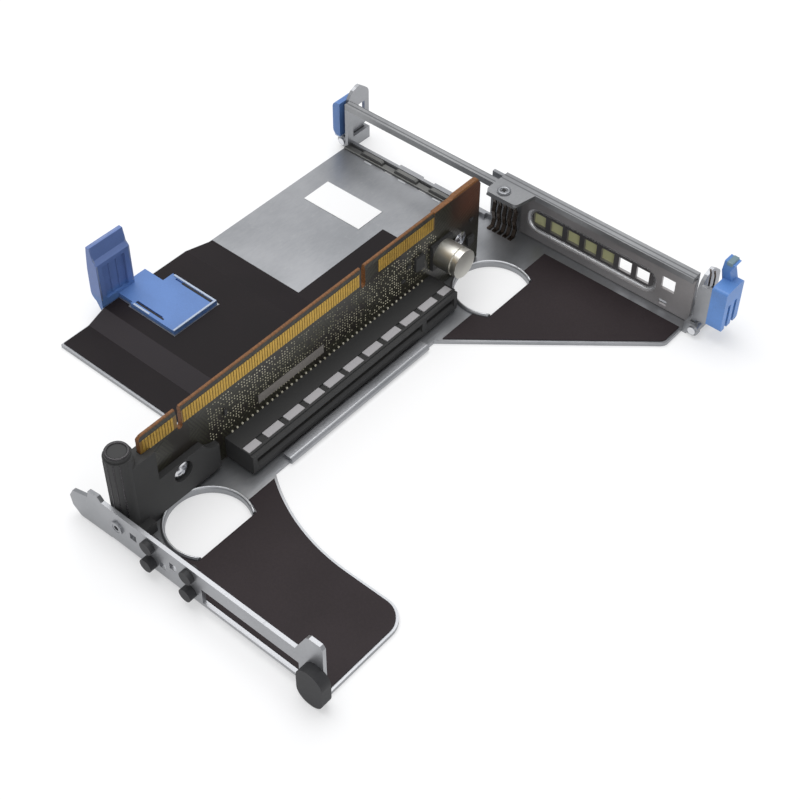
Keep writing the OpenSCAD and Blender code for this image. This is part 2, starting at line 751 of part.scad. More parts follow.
module solder_tails() placed() color("silver") {
    for (i = [0:floor((slot_len - 4) / 2) - 1], row = [0, 1]) {
        y = slot_start + 2.4 + 2 * i + row;
        for (z = [slot_z0 + 1.3 + row, slot_z1 - 1.3 - row])
            translate([-board_t - 1.3, y - 0.2, z - 0.2]) cube([1.3, 0.4, 0.4]);
        if (row == 0) translate([0, y + 0.25, slot_z1 + 0.2]) cube([0.35, 0.5, 0.5]);
    }
}

module board_chips() placed() color("#303030") {
    // Small packages beside the slot: [y, z, length, height, thickness]
    for (c = [
        [slot_end - 8, 16, 4, 5, 1], [slot_end - 14, 15.4, 1.6, 0.8, 0.6], [slot_end - 11.4, 19.4, 1.6, 0.8, 0.6],
        [slot_start + 0.4, 18.4, 0.9, 1.8, 0.7], [board_end - 6, 10, 3, 3, 0.9], [board_end - 5, 19, 1.6, 0.8, 0.6]
    ]) block([0, c[0], c[1]], [c[4], c[0] + c[2], c[1] + c[3]]);
}

module board_label() placed() color("lightgray") block([0, slot_start + 13.7, slot_z1 + 3], [0.15, slot_start + 40.6, slot_z1 + 6.2]);

module capacitor_base() placed() color("black") block([0, can_y - can_r + 0.1, can_z - can_r + 0.1], [base_t, can_y + can_r - 0.1, can_z + can_r - 0.1]);

module capacitor_can() placed() color("white") {
    rod_x(base_t, base_t + can_len - 2.4, can_y, can_z, can_r);
    rod_x(base_t + can_len - 2.4, base_t + can_len - 1.8, can_y, can_z, can_r - 0.35);
    rod_x(base_t + can_len - 1.8, base_t + can_len, can_y, can_z, can_r);
}

module board_screws() placed() color("silver")
    for (p = [[front_screw_y, front_screw_z], [rear_screw_y, rear_screw_z]]) {
        rod_x(stand_x - 2 * sheet_t, eps, p.x, p.y, screw_r - 0.05);
        difference() {
            translate([0, p.x, p.y]) rotate([0, 90, 0]) rotate_extrude() intersection() {
                translate([0, head_t - 6.2]) circle(6.2, $fn = 96);
                square([screw_head_r, head_t + 1]);
            }
            for (a = [0, 90]) translate([head_t, p.x, p.y]) rotate([a + 20, 0, 0]) cube([1.6, 3.4, 0.8], center = true);
        }
    }

module board_support() placed() color("#222222") difference() {
    union() {
        // Guide post with a foot against the flange
        translate([post_x, post_y, sheet_t]) cylinder(h = post_top - sheet_t - 1.2, r = post_r);
        translate([post_x, post_y, post_top - 1.2]) cylinder(h = 1.2, r = post_r - 0.5);
        block([post_x, fold_r, sheet_t], [post_x + 6.4, post_y + 4, 5]);
        // Edge guide that holds the front edge of the board
        block([-board_t - 1.6, post_y, sheet_t], [support_t + 0.1, board_start + 3, 27]);
        // Cheek against the board, open round the front screw
        along_x(0.1, support_t + 0.1) translate([post_y, sheet_t + lip_h + 0.3]) difference() {
            square([slot_start - 4 - post_y, 13.4]);
            translate([slot_start - 4 - post_y, 13.4 + 2]) circle(6);
        }
    }
    block([-board_t - 0.1, board_start - 0.2, 0], [0.1, board_start + 6, board_top]);
    rod_x(-1, support_t + 1, front_screw_y, front_screw_z, screw_head_r + 0.5);
    translate([hole_x, front_hole_y, 0]) cylinder(h = sheet_t + lip_h + 0.3, r = hole_r + lip_w + 0.2);
    block([-spine_back - 6, -1, -1], [-3.3, fold_r + 20, sheet_t + eps]);
}

// Bumpers and rivets

module flange_bumpers() placed() color("#181818") for (x = bumper_x, z = bumper_z) {
    rod_y(-0.01, sheet_t, x, z, bumper_hole);
    translate([x, 0, z]) rotate([90, 0, 0]) cylinder(h = z == bumper_z[0] ? 2.4 : 1.6, r = bumper_r);
    translate([x, sheet_t + 1.2, z]) rotate([90, 0, 0]) cylinder(h = 1.2, r = bumper_hole + 0.6);
}

module end_bumper() placed() color("#181818") translate([end_bumper_x, 0, 0.4]) {
    along_y(-end_bumper_t, 0) translate([-end_bumper_w / 2, 0]) round_rect([end_bumper_w, end_bumper_h], end_bumper_w / 2 - 0.3);
}

module flange_rivet() placed() color("silver") {
    difference() {
        rod_y(-0.5, sheet_t + 0.4, rivet_x, rivet_z, rivet_r - 0.02);
        rod_y(-1, sheet_t, rivet_x, rivet_z, rivet_r - 0.8);
    }
    difference() {
        rod_y(-0.6, 0, rivet_x, rivet_z, rivet_r + 0.5);
        rod_y(-1, 1, rivet_x, rivet_z, rivet_r - 0.1);
    }
}

// Latches

// Steel latch plate with its rolled knuckle; side is -1 for the left one.
module latch_plate(face, side) {
    hinge = face + side * (knuckle_r + latch_gap);
    inner = face + side * latch_gap;
    outer = inner + side * sheet_t;
    difference() {
        union() {
            rod_y(latch_y0, knuckle_y1, hinge, hinge_z, knuckle_r);
            block([min(inner, outer), latch_y0, hinge_z], [max(inner, outer), knuckle_y1, plate_bottom + 1]);
            along_x(min(inner, outer), max(inner, outer)) polygon(concat(
                [[latch_y0, plate_bottom]], [[latch_y1 - 2, plate_bottom], [latch_y1, plate_bottom + 3]],
                arc_pts([latch_y1 - 3, latch_top - 5], 3, 0, 60, 4), arc_pts([latch_y0 + 6, latch_top - 6], 6, 90, 170, 5)
            ));
        }
        rod_y(latch_y0 - 1, knuckle_y1 + 1, hinge, hinge_z, pin_r + pin_gap);
        // Window for the screwless card tab
        along_x(min(inner, outer) - 1, max(inner, outer) + 1) translate([wall_y + 2.6, plate_bottom + 4]) square([3, 5]);
    }
}

module latch_pin(face, side) {
    hinge = face + side * (knuckle_r + latch_gap);
    rod_y(ear_y0 - 0.6, ear_y1 + 0.6, hinge, hinge_z, pin_r);
    for (y = [ear_y0 - 0.6, ear_y1]) rod_y(y, y + 0.6, hinge, hinge_z, pin_r + 0.5);
}

module left_latch_plate() placed() color("silver") latch_plate(left_ear, -1);
module left_latch_pin() placed() color("gray") latch_pin(left_ear, -1);

module left_latch_pad() placed() color("royalblue") {
    face = left_ear - latch_gap - sheet_t;
    along_y(latch_y0 - 3, latch_y0 + 5) polygon(concat(
        [[face, pad_bottom], [face, latch_top - 3.6]], arc_pts([face - left_pad_t + 2, latch_top - 5.6], 2, 90, 180, 4),
        arc_pts([face - left_pad_t + 2, pad_bottom + 2], 2, 180, 270, 4)
    ));
}

module right_latch_plate() placed() color("gray") {
    latch_plate(right_ear, 1);
    // Side web that carries the thumb body
    outer = right_ear + latch_gap + sheet_t;
    block([outer - eps, latch_y0, pad_bottom], [right_body_x, latch_y0 + sheet_t, latch_top - 3]);
}

module right_latch_body() placed() color("royalblue") {
    y1 = latch_y0 + 9.4;
    difference() {
        along_x(right_body_x, right_body_x + right_body_t) translate([latch_y0, pad_bottom]) round_rect([9.4, latch_top - 1.6 - pad_bottom], 1);
        for (y = [latch_y0 + 2.2, latch_y0 + 5.6])
            block([right_body_x + right_body_t - 1.2, y, pad_bottom - 1], [right_body_x + right_body_t + 1, y + 1.4, latch_top - 7.6]);
    }
    // Thumb tab on a neck behind the body
    along_y(y1 - 3.6, y1) polygon([
        [right_body_x, latch_top - 4], [right_body_x + 3.4, latch_top - 4], [right_body_x + 1.8, latch_top + 1.6],
        [right_body_x + 3, latch_top + 4.4], [right_body_x - 0.6, latch_top + 5], [right_body_x - 1, latch_top + 1]
    ]);
}

module right_latch_pin() placed() color("gray") latch_pin(right_ear, 1);

tray();
top_rail();
cross_bar();
slot_cover();
vent_backing();
front_film();
rear_film();
flap_film();
flap_label();
touch_handle();
riser_board();
edge_contacts();
slot_housing();
slot_contacts();
slot_windows();
solder_tails();
board_chips();
board_label();
capacitor_can();
capacitor_base();
board_screws();
board_support();
flange_bumpers();
end_bumper();
flange_rivet();
rail_stud();
left_latch_plate();
left_latch_pad();
left_latch_pin();
right_latch_plate();
right_latch_body();
right_latch_pin();
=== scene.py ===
"""Dresses the riser cage: finishes for the CAD nodes, small repeated parts, light and camera."""

import logging
import math
from dataclasses import dataclass, field
from enum import Enum
from typing import Any, Mapping, Optional, Sequence, Union

import bmesh
import bpy
from mathutils import Matrix, Vector


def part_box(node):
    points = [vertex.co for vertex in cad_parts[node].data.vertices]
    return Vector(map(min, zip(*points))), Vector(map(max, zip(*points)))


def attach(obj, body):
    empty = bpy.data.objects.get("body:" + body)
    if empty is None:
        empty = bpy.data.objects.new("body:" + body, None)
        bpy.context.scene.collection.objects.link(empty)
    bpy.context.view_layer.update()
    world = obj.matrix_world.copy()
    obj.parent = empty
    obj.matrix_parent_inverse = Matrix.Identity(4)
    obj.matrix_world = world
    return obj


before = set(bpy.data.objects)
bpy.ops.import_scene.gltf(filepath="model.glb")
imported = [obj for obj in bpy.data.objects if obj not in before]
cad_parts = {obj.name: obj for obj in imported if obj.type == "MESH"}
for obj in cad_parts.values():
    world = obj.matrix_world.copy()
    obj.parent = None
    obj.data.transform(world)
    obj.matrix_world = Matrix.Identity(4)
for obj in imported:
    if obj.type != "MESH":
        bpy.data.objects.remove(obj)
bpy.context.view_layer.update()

log = logging.getLogger("riser_cage")
MM = 0.001
SHEET = 1.2  # thickness of the tray's sheet in millimetres
Colour = tuple[float, float, float]
Outline = tuple[tuple[float, float], ...]
Number = Union[float, "Signal"]


def srgb(red: int, green: int, blue: int) -> Colour:
    """Turns 0-255 display values into linear ones.

    Args:
        red: Red as displayed.
        green: Green as displayed.
        blue: Blue as displayed.

    Returns:
        The linear colour.
    """
    def one(value: int) -> float:
        """Linearises one channel."""
        v = value / 255
        return v / 12.92 if v <= 0.04045 else ((v + 0.055) / 1.055) ** 2.4
    return (one(red), one(green), one(blue))


class Body(Enum):
    """The rigid bodies of the cage."""

    CAGE = "cage"
    LEFT_LATCH = "left_latch"
    RIGHT_LATCH = "right_latch"


# Shader maths


class Signal:
    """A shader socket that can be used in Python expressions."""

    def __init__(self, graph: "Graph", socket: bpy.types.NodeSocket) -> None:
        """Wraps an output socket of a graph."""
        self.graph = graph
        self.socket = socket

    def _math(self, operation: str, a: Number, b: Number = 0.0) -> "Signal":
        """Adds one Math node.

        Args:
            operation: The Math node's operation.
            a: First value.
            b: Second value.

        Returns:
            The node's output.
        """
        node = self.graph.node("ShaderNodeMath", {"operation": operation}, {0: a, 1: b})
        return Signal(self.graph, node.outputs[0])

    def __add__(self, other: Number) -> "Signal":
        """Adds a value."""
        return self._math("ADD", self, other)

    __radd__ = __add__

    def __sub__(self, other: Number) -> "Signal":
        """Subtracts a value."""
        return self._math("SUBTRACT", self, other)

    def __rsub__(self, other: Number) -> "Signal":
        """Is subtracted from a value."""
        return self._math("SUBTRACT", other, self)

    def __mul__(self, other: Number) -> "Signal":
        """Multiplies by a value."""
        return self._math("MULTIPLY", self, other)

    __rmul__ = __mul__

    def __gt__(self, other: Number) -> "Signal":
        """Is 1 where the signal is greater."""
        return self._math("GREATER_THAN", self, other)

    def __lt__(self, other: Number) -> "Signal":
        """Is 1 where the signal is less."""
        return self._math("LESS_THAN", self, other)

    def higher(self, other: Number) -> "Signal":
        """Gives the greater of the signal and a value."""
        return self._math("MAXIMUM", self, other)

    def distance(self, other: Number) -> "Signal":
        """Gives the absolute difference to a value."""
        return self._math("ABSOLUTE", self - other)

    def wrapped(self, period: float) -> "Signal":
        """Gives the signal modulo a period, never negative."""
        node = self.graph.node("ShaderNodeMath", {"operation": "WRAP"}, {0: self, 1: period, 2: 0.0})
        return Signal(self.graph, node.outputs[0])

    def ramp(self, low: float, high: float, to_low: float = 0.0, to_high: float = 1.0) -> "Signal":
        """Maps a range smoothly onto another one.

        Args:
            low: Value that gives to_low.
            high: Value that gives to_high.
            to_low: Result at and below low.
            to_high: Result at and above high.

        Returns:
            The mapped signal.
        """
        node = self.graph.node(
            "ShaderNodeMapRange", {"interpolation_type": "SMOOTHSTEP", "clamp": True},
            {"Value": self, "From Min": low, "From Max": high, "To Min": to_low, "To Max": to_high},
        )
        return Signal(self.graph, node.outputs["Result"])


class Graph:
    """A material's node tree, with one method that makes any node."""

    def __init__(self, name: str) -> None:
        """Starts an empty material.

        Args:
            name: The material's name.
        """
        self.material = bpy.data.materials.new(name)
        self.material.use_nodes = True
        self.tree = self.material.node_tree
        self.tree.nodes.clear()
        self.output = self.tree.nodes.new("ShaderNodeOutputMaterial")
        self._place: Optional[Signal] = None

    def node(self, kind: str, settings: Mapping[str, Any], inputs: Mapping[Any, Any]) -> bpy.types.Node:
        """Adds a node.

        Args:
            kind: The node's type.
            settings: Properties that are set first.
            inputs: Values or signals of its sockets, by name or place.

        Returns:
            The node.
        """
        node = self.tree.nodes.new(kind)
        for key, value in settings.items():
            setattr(node, key, value)
        for key, value in inputs.items():
            if isinstance(value, Signal):
                self.tree.links.new(value.socket, node.inputs[key])
            elif isinstance(value, tuple) and len(value) == 3 and node.inputs[key].type == "RGBA":
                node.inputs[key].default_value = (*value, 1.0)
            else:
                node.inputs[key].default_value = value
        return node

    def place(self) -> Signal:
        """Gives the object coordinates in metres."""
        if self._place is None:
            node = self.node("ShaderNodeTexCoord", {}, {})
            self._place = Signal(self, node.outputs["Object"])
        return self._place

    def axes(self) -> tuple[Signal, Signal, Signal]:
        """Gives the object coordinates as three signals."""
        node = self.node("ShaderNodeSeparateXYZ", {}, {0: self.place()})
        return tuple(Signal(self, node.outputs[i]) for i in range(3))

    def facing(self) -> tuple[Signal, Signal, Signal]:
        """Gives the surface normal in object space as three signals."""
        coords = self.node("ShaderNodeTexCoord", {}, {})
        node = self.node("ShaderNodeSeparateXYZ", {}, {0: Signal(self, coords.outputs["Normal"])})
        return tuple(Signal(self, node.outputs[i]) for i in range(3))

    def stretched(self, x: float, y: float, z: float) -> Signal:
        """Gives the object coordinates scaled along each axis."""
        inputs = {"Vector": self.place(), "Scale": (x, y, z)}
        return Signal(self, self.node("ShaderNodeMapping", {"vector_type": "POINT"}, inputs).outputs[0])

    def noise(
        self, scale: float, detail: float = 2.0, roughness: float = 0.5, vector: Optional[Signal] = None,
    ) -> Signal:
        """Adds noise.

        Args:
            scale: Grains per metre.
            detail: Octaves.
            roughness: Share of the finer octaves.
            vector: Where it is read, or None for object coordinates.

        Returns:
            The noise, from 0 to 1.
        """
        node = self.node(
            "ShaderNodeTexNoise", {},
            {"Vector": vector or self.place(), "Scale": scale, "Detail": detail, "Roughness": roughness},
        )
        return Signal(self, node.outputs[0])

    def mix(self, share: Number, a: Any, b: Any) -> Signal:
        """Mixes two colours.

        Args:
            share: How much of the second.
            a: First colour or signal.
            b: Second colour or signal.

        Returns:
            The mixed colour.
        """
        node = self.tree.nodes.new("ShaderNodeMix")
        node.data_type = "RGBA"
        for index, value in ((0, share), (6, a), (7, b)):
            if isinstance(value, Signal):
                self.tree.links.new(value.socket, node.inputs[index])
            elif index == 0:
                node.inputs[0].default_value = value
            else:
                node.inputs[index].default_value = (*value, 1.0)
        return Signal(self, node.outputs[2])

    def bump(self, height: Signal, depth: float, strength: float = 1.0) -> Signal:
        """Turns a height into a normal.

        Args:
            height: The height, from 0 to 1.
            depth: What a height of 1 is, in metres.
            strength: How much of it shows.

        Returns:
            The normal.
        """
        node = self.node("ShaderNodeBump", {}, {"Height": height, "Distance": depth, "Strength": strength})
        return Signal(self, node.outputs[0])

    def shade(self, **sockets: Any) -> bpy.types.Material:
        """Ends the material in a Principled shader.

        Args:
            **sockets: Its sockets, with underscores for spaces.

        Returns:
            The finished material.
        """
        inputs = {key.replace("_", " "): value for key, value in sockets.items()}
        node = self.node("ShaderNodeBsdfPrincipled", {}, inputs)
        self.tree.links.new(node.outputs[0], self.output.inputs["Surface"])
        return self.material


# Finishes


@dataclass(frozen=True)
class Finish:
    """A procedural finish; each kind says how it is painted."""

    name: str

    def material(self) -> bpy.types.Material:
        """Gives the finish's material, made once."""
        found = bpy.data.materials.get(self.name)
        return found or self.paint(Graph(self.name))

    def paint(self, graph: Graph) -> bpy.types.Material:
        """Paints the finish on an empty graph."""
        raise NotImplementedError


@dataclass(frozen=True)
class PlatedSteel(Finish):
    """Zinc plated sheet with rolling grain, mottling and fine handling marks."""

    light: Colour = srgb(164, 165, 168)
    dark: Colour = srgb(144, 146, 149)
    roughness: float = 0.36
    metallic: float = 0.82
    grain: float = 420.0
    cloud: float = 30.0
    spot: float = 620.0
    spot_tint: Colour = (0.5, 0.5, 0.51)
    mark: float = 900.0
    depth: float = 0.00002

    def paint(self, graph: Graph) -> bpy.types.Material:
        """Paints cloudy zinc with grain along the sheet."""
        grain = graph.noise(self.grain, 3, 0.6, graph.stretched(3, 1, 3))
        clouds = graph.noise(self.cloud, 3, 0.55)
        spots = graph.noise(self.spot, 2, 0.6).ramp(0.62, 0.72)
        marks = graph.noise(self.mark, 2, 0.5, graph.stretched(1, 0.05, 1)).ramp(0.68, 0.74)
        tone = (clouds * 0.8 + grain * 0.2).ramp(0.3, 0.7)
        colour = graph.mix(tone, self.dark, self.light)
        colour = graph.mix(spots * 0.1, colour, self.spot_tint)
        colour = self.shaded(graph, colour)
        rough = clouds * 0.12 + grain * 0.08 + marks * 0.08 + (self.roughness - 0.1)
        normal = graph.bump(grain * 0.6 + clouds * 0.4, self.depth, 0.35)
        return graph.shade(Base_Color=colour, Metallic=self.metallic, Roughness=rough, Normal=normal)

    def shaded(self, graph: Graph, colour: Signal) -> Signal:
        """Lets a kind of sheet be darker in places; plain sheet isn't."""
        return colour


@dataclass(frozen=True)
class CoverSteel(PlatedSteel):
    """Cover sheet with painted shade on its pressed pocket's floor, and a face that darkens towards the left
    end.
    """

    pocket_y: float = 0.08755
    # Painted shade: the dark tone laid on the pocket's floor and, less, on the face towards the left end.
    stain_and_shade: Colour = srgb(66, 64, 66)

    def shaded(self, graph: Graph, colour: Signal) -> Signal:
        """Paints shade on the pocket's floor and darkens the face towards the left end."""
        x, y, _ = graph.axes()
        _, ny, _ = graph.facing()
        # Painted shade on the pocket's floor faces, stronger towards the left end.
        floor = (y > self.pocket_y) * (ny < -0.5)
        away = x.ramp(0.0, 0.06, 0.9, 0.7)
        drift = graph.mix(x.ramp(0.0, 0.066, 0.5, 0.0), colour, self.stain_and_shade)
        return graph.mix(floor * away, drift, self.stain_and_shade)


@dataclass(frozen=True)
class RailSteel(PlatedSteel):
    """Rolled rail sheet with painted shade: dark lines along it stand for the shade in its grooves."""

    line_pitch: float = 0.00175
    bar_top: float = 0.0192
    ledge_y: float = 0.0849
    # Painted shade of the grooves along the rail and the bar.
    line: Colour = srgb(92, 93, 96)

    def shaded(self, graph: Graph, colour: Signal) -> Signal:
        """Paints dark lines along the rail's top as the shade of its grooves."""
        _, y, z = graph.axes()
        _, _, nz = graph.facing()
        strip = (z < self.bar_top) + (y > self.ledge_y) * (z > self.bar_top)
        groove_shade_lines = y.wrapped(self.line_pitch).ramp(0.0011, 0.0013) * (nz > 0.5) * strip
        return graph.mix(groove_shade_lines * 0.75, colour, self.line)


@dataclass(frozen=True)
class BrightMetal(Finish):
    """Small metal parts: screws, pins, plated contacts and the can."""

    tint: Colour = srgb(214, 214, 216)
    roughness: float = 0.2
    grain: float = 300.0
    depth: float = 0.000008

    def paint(self, graph: Graph) -> bpy.types.Material:
        """Paints a clean metal with faint machining variation."""
        streaks = graph.noise(self.grain, 2, 0.5)
        stain_and_shade = graph.noise(self.grain * 0.25, 3, 0.6)
        darker = tuple(c * 0.78 for c in self.tint)
        colour = graph.mix((streaks * 0.5 + stain_and_shade * 0.5).ramp(0.3, 0.7), darker, self.tint)
        rough = streaks * 0.14 + stain_and_shade * 0.1 + (self.roughness - 0.08)
        normal = graph.bump(streaks, self.depth, 0.5)
        return graph.shade(Base_Color=colour, Metallic=1.0, Roughness=rough, Normal=normal)


@dataclass(frozen=True)
class InsulatingFilm(Finish):
    """Thin dark film with a dull satin face and slight waviness."""

    tint: Colour = srgb(24, 19, 21)
    dusty: Colour = srgb(33, 27, 29)
    # Painted sheen on the faces that turn to the front.
    slope_sheen: Colour = srgb(56, 52, 55)
    grain: float = 1500.0
    waviness: float = 34.0
    depth: float = 0.0003

    def paint(self, graph: Graph) -> bpy.types.Material:
        """Paints the film with faint dust, a soft wave and a painted sheen on the faces that turn to the
        front.
        """
        dust = graph.noise(self.grain, 2, 0.6)
        wave = graph.noise(self.waviness, 2, 0.5)
        _, ny, _ = graph.facing()
        colour = graph.mix((wave * 0.7 + dust * 0.3).ramp(0.35, 0.75), self.tint, self.dusty)
        # Painted sheen: faces turned towards -y are lightened.
        colour = graph.mix((1 - ny.ramp(-0.45, -0.15)) * 0.8, colour, self.slope_sheen)
        rough = wave * 0.1 + dust * 0.08 + 0.48
        normal = graph.bump(wave * 0.85 + dust * 0.15, self.depth, 0.35)
        return graph.shade(Base_Color=colour, Roughness=rough, Specular_IOR_Level=0.16, Normal=normal)


@dataclass(frozen=True)
class MouldedPlastic(Finish):
    """Moulded plastic with a fine spark texture."""

    tint: Colour = srgb(44, 43, 45)
    paler_tone: Colour = srgb(58, 57, 59)
    roughness: float = 0.42
    grain: float = 2200.0
    depth: float = 0.00003
    flow: float = 60.0

    def paint(self, graph: Graph) -> bpy.types.Material:
        """Paints the plastic with texture and faint flow lines."""
        spark = graph.noise(self.grain, 2, 0.55)
        flow = graph.noise(self.flow, 3, 0.5)
        colour = graph.mix((flow * 0.6 + spark * 0.4).ramp(0.3, 0.75), self.tint, self.paler_tone)
        rough = spark * 0.12 + flow * 0.12 + (self.roughness - 0.1)
        normal = graph.bump(spark, self.depth, 0.4)
        return graph.shade(Base_Color=colour, Roughness=rough, Specular_IOR_Level=0.45, Normal=normal)


@dataclass(frozen=True)
class TouchPlastic(Finish):
    """Blue touch-point plastic; the parts that stand up get a deeper tone as painted shade."""

    flat: Colour = srgb(84, 119, 176)
    # Painted shade: the tone given to the parts that stand up.
    upright: Colour = srgb(94, 116, 168)
    turn: float = 0.0065
    blend: float = 0.002
    grain: float = 2400.0
    flow: float = 75.0
    depth: float = 0.00003

    def paint(self, graph: Graph) -> bpy.types.Material:
        """Paints the blue, with the moulded grain, a soft sheen and painted shade on the parts that stand up.
        """
        _, _, z = graph.axes()
        spark = graph.noise(self.grain, 2, 0.55)
        flow = graph.noise(self.flow, 3, 0.5)
        # Painted shade: above the turn the upright tone is used.
        upright_shade_mask = z.ramp(self.turn, self.turn + self.blend)
        base = graph.mix(upright_shade_mask, self.flat, self.upright)
        pale = graph.mix(
            upright_shade_mask, tuple(min(1.0, c * 1.22) for c in self.flat), tuple(c * 1.35 for c in self.upright))
        colour = graph.mix((flow * 0.7 + spark * 0.3).ramp(0.35, 0.75), base, pale)
        rough = spark * 0.14 + flow * 0.1 + 0.3
        normal = graph.bump(spark, self.depth, 0.4)
        return graph.shade(Base_Color=colour, Roughness=rough, Normal=normal)


@dataclass(frozen=True)
class BoardMask(Finish):
    """Dark solder mask over copper, with a bare brown edge along the top."""

    mask: Colour = srgb(34, 30, 26)
    trace: Colour = srgb(48, 49, 36)
    edge: Colour = srgb(126, 80, 36)
    edge_low: float = 0.0328
    band: Colour = srgb(128, 98, 44)
    band_z: tuple[float, float] = (0.0267, 0.0314)
    band_y: tuple[float, float, float] = (0.0123, 0.0203, 0.0458)
    end: Colour = srgb(86, 50, 34)
    slant: float = 0.55
    pitches: tuple[float, float] = (0.0011, 0.0016)
    depth: float = 0.00003

    def paint(self, graph: Graph) -> bpy.types.Material:
        """Paints copper runs under the mask and the brown edge."""
        _, y, z = graph.axes()
        nx, _, _ = graph.facing()
        along = (y + z * self.slant).wrapped(self.pitches[0]).ramp(0.0004, 0.0006)
        across = (y * self.slant - z).wrapped(self.pitches[1]).ramp(0.0006, 0.0009)
        region = graph.noise(150, 2, 0.5).ramp(0.48, 0.54)
        blocks = graph.noise(90, 1, 0.5).ramp(0.42, 0.46)
        runs = (along * region + across * (1 - region)) * blocks
        fibre = graph.noise(1800, 2, 0.6)
        colour = graph.mix(runs * 0.7 + fibre * 0.12, self.mask, self.trace)
        first, second, last = self.band_y
        groups = (y < first) + (y > second) * (y < last)
        band = groups * (z > self.band_z[0]) * (z < self.band_z[1])
        colour = graph.mix(band * 0.85, colour, self.band)
        colour = graph.mix(y.ramp(0.05, 0.064) * z.ramp(0.017, 0.027) * 0.8, colour, self.end)
        rim = z.ramp(self.edge_low - 0.0003, self.edge_low)
        side = 1 - nx.distance(0.0).ramp(0.5, 0.8)
        bare = rim + side - rim * side
        laminate = graph.mix(fibre.ramp(0.35, 0.7), self.edge, tuple(c * 0.6 for c in self.edge))
        colour = graph.mix(bare, colour, laminate)
        rough = fibre * 0.12 + bare * 0.3 + 0.28
        normal = graph.bump(runs, self.depth, 0.5)
        return graph.shade(Base_Color=colour, Roughness=rough, Normal=normal)


@dataclass(frozen=True)
class TintedFilm(Finish):
    """Pale yellow film that lets light through."""

    tint: Colour = srgb(220, 216, 150)
    alpha: float = 0.56

    def paint(self, graph: Graph) -> bpy.types.Material:
        """Paints the film with a faint haze."""
        haze = graph.noise(240, 3, 0.6)
        colour = graph.mix(haze.ramp(0.35, 0.7), tuple(c * 0.82 for c in self.tint), self.tint)
        alpha = haze * 0.1 + (self.alpha - 0.05)
        return graph.shade(Base_Color=colour, Roughness=haze * 0.2 + 0.3, Alpha=alpha)


@dataclass(frozen=True)
class Paper(Finish):
    """Blank label stock."""

    tint: Colour = srgb(232, 232, 234)

    def paint(self, graph: Graph) -> bpy.types.Material:
        """Paints smooth paper with faint fibres."""
        fibre = graph.noise(1200, 3, 0.6)
        shade = graph.noise(50, 2, 0.5)
        tone = (fibre * 0.5 + shade * 0.5).ramp(0.3, 0.7)
        colour = graph.mix(tone, tuple(c * 0.9 for c in self.tint), self.tint)
        normal = graph.bump(fibre, 0.00001, 0.3)
        return graph.shade(Base_Color=colour, Roughness=fibre * 0.1 + 0.45, Normal=normal)


@dataclass(frozen=True)
class Ground(Finish):
    """Pale floor that keeps the soft shadows."""

    tint: Colour = (0.93, 0.93, 0.935)
    lift: float = 0.42

    def paint(self, graph: Graph) -> bpy.types.Material:
        """Mixes a lit floor with plain white where it is looked at."""
        drift = graph.noise(3, 2, 0.5)
        colour = graph.mix(drift, tuple(c * 0.985 for c in self.tint), self.tint)
        lit = graph.node("ShaderNodeBsdfDiffuse", {}, {"Color": colour})
        plain = graph.node("ShaderNodeEmission", {}, {"Color": (1.0, 1.0, 1.0), "Strength": 1.0})
        ray = graph.node("ShaderNodeLightPath", {}, {})
        kinds = ("Is Camera Ray", "Is Glossy Ray", "Is Transmission Ray")
        looked, mirrored, through = (Signal(graph, ray.outputs[kind]) for kind in kinds)
        seen = looked.higher(mirrored).higher(through)
        mixed = graph.node("ShaderNodeMixShader", {}, {
            0: seen * self.lift, 1: Signal(graph, lit.outputs[0]), 2: Signal(graph, plain.outputs[0])})
        graph.tree.links.new(mixed.outputs[0], graph.output.inputs["Surface"])
        return graph.material


STEEL = PlatedSteel("plated_steel")
COVER_STEEL = CoverSteel("cover_steel", light=srgb(172, 169, 169), dark=srgb(152, 149, 149), metallic=0.4)
# A paler copy of the plated steel: a painted highlight on the pocket's lower wall.
POCKET_HIGHLIGHT_STEEL = PlatedSteel(
    "pocket_highlight_steel", light=srgb(226, 226, 228), dark=srgb(200, 200, 202), roughness=0.28, metallic=0.6)
RAIL_STEEL = RailSteel("rail_steel", light=srgb(158, 159, 160), dark=srgb(136, 137, 139), roughness=0.4)
GUIDE_STEEL = PlatedSteel("guide_steel", light=srgb(122, 122, 120), dark=srgb(96, 96, 95), roughness=0.42)
BRIGHT_STEEL = BrightMetal("bright_steel", srgb(214, 214, 214), 0.24)
SPRING_METAL = BrightMetal("spring_metal", srgb(84, 75, 68), 0.24, 700)
CHROME = BrightMetal("screw_chrome", srgb(226, 227, 230), 0.14)
CAN = BrightMetal("capacitor_metal", srgb(226, 224, 216), 0.3, 120)
GOLD = BrightMetal("contact_gold", srgb(214, 178, 92), 0.45, 900)
TIN = MouldedPlastic("solder_tin", srgb(196, 190, 170), srgb(230, 226, 208), 0.3, 1200)
# Via rings run from a dark tone to a pale one; the pale rings are painted glints.
VIA = MouldedPlastic("via_rings", srgb(70, 68, 48), srgb(226, 220, 194), 0.35, 900)
FILM = InsulatingFilm("black_film")
WING_FILM = InsulatingFilm("wing_film", srgb(40, 33, 35), srgb(50, 43, 45))
BLACK = MouldedPlastic("black_plastic", srgb(34, 33, 35), srgb(46, 45, 47))
DEEP_BLACK = MouldedPlastic("deep_black", srgb(12, 11, 13), srgb(20, 19, 21), 0.6)
GLOSS_BLACK = MouldedPlastic("gloss_black", srgb(40, 38, 40), srgb(60, 57, 60), 0.24)
GREY = MouldedPlastic("grey_plastic", srgb(148, 142, 144), srgb(166, 160, 162), 0.5)
LABEL_GREY = MouldedPlastic("label_grey", srgb(112, 108, 104), srgb(132, 127, 122), 0.5)
RUBBER = MouldedPlastic("bumper_rubber", srgb(34, 34, 36), srgb(46, 46, 48), 0.6, 1400, 0.00005)
BLUE = TouchPlastic("touch_blue")
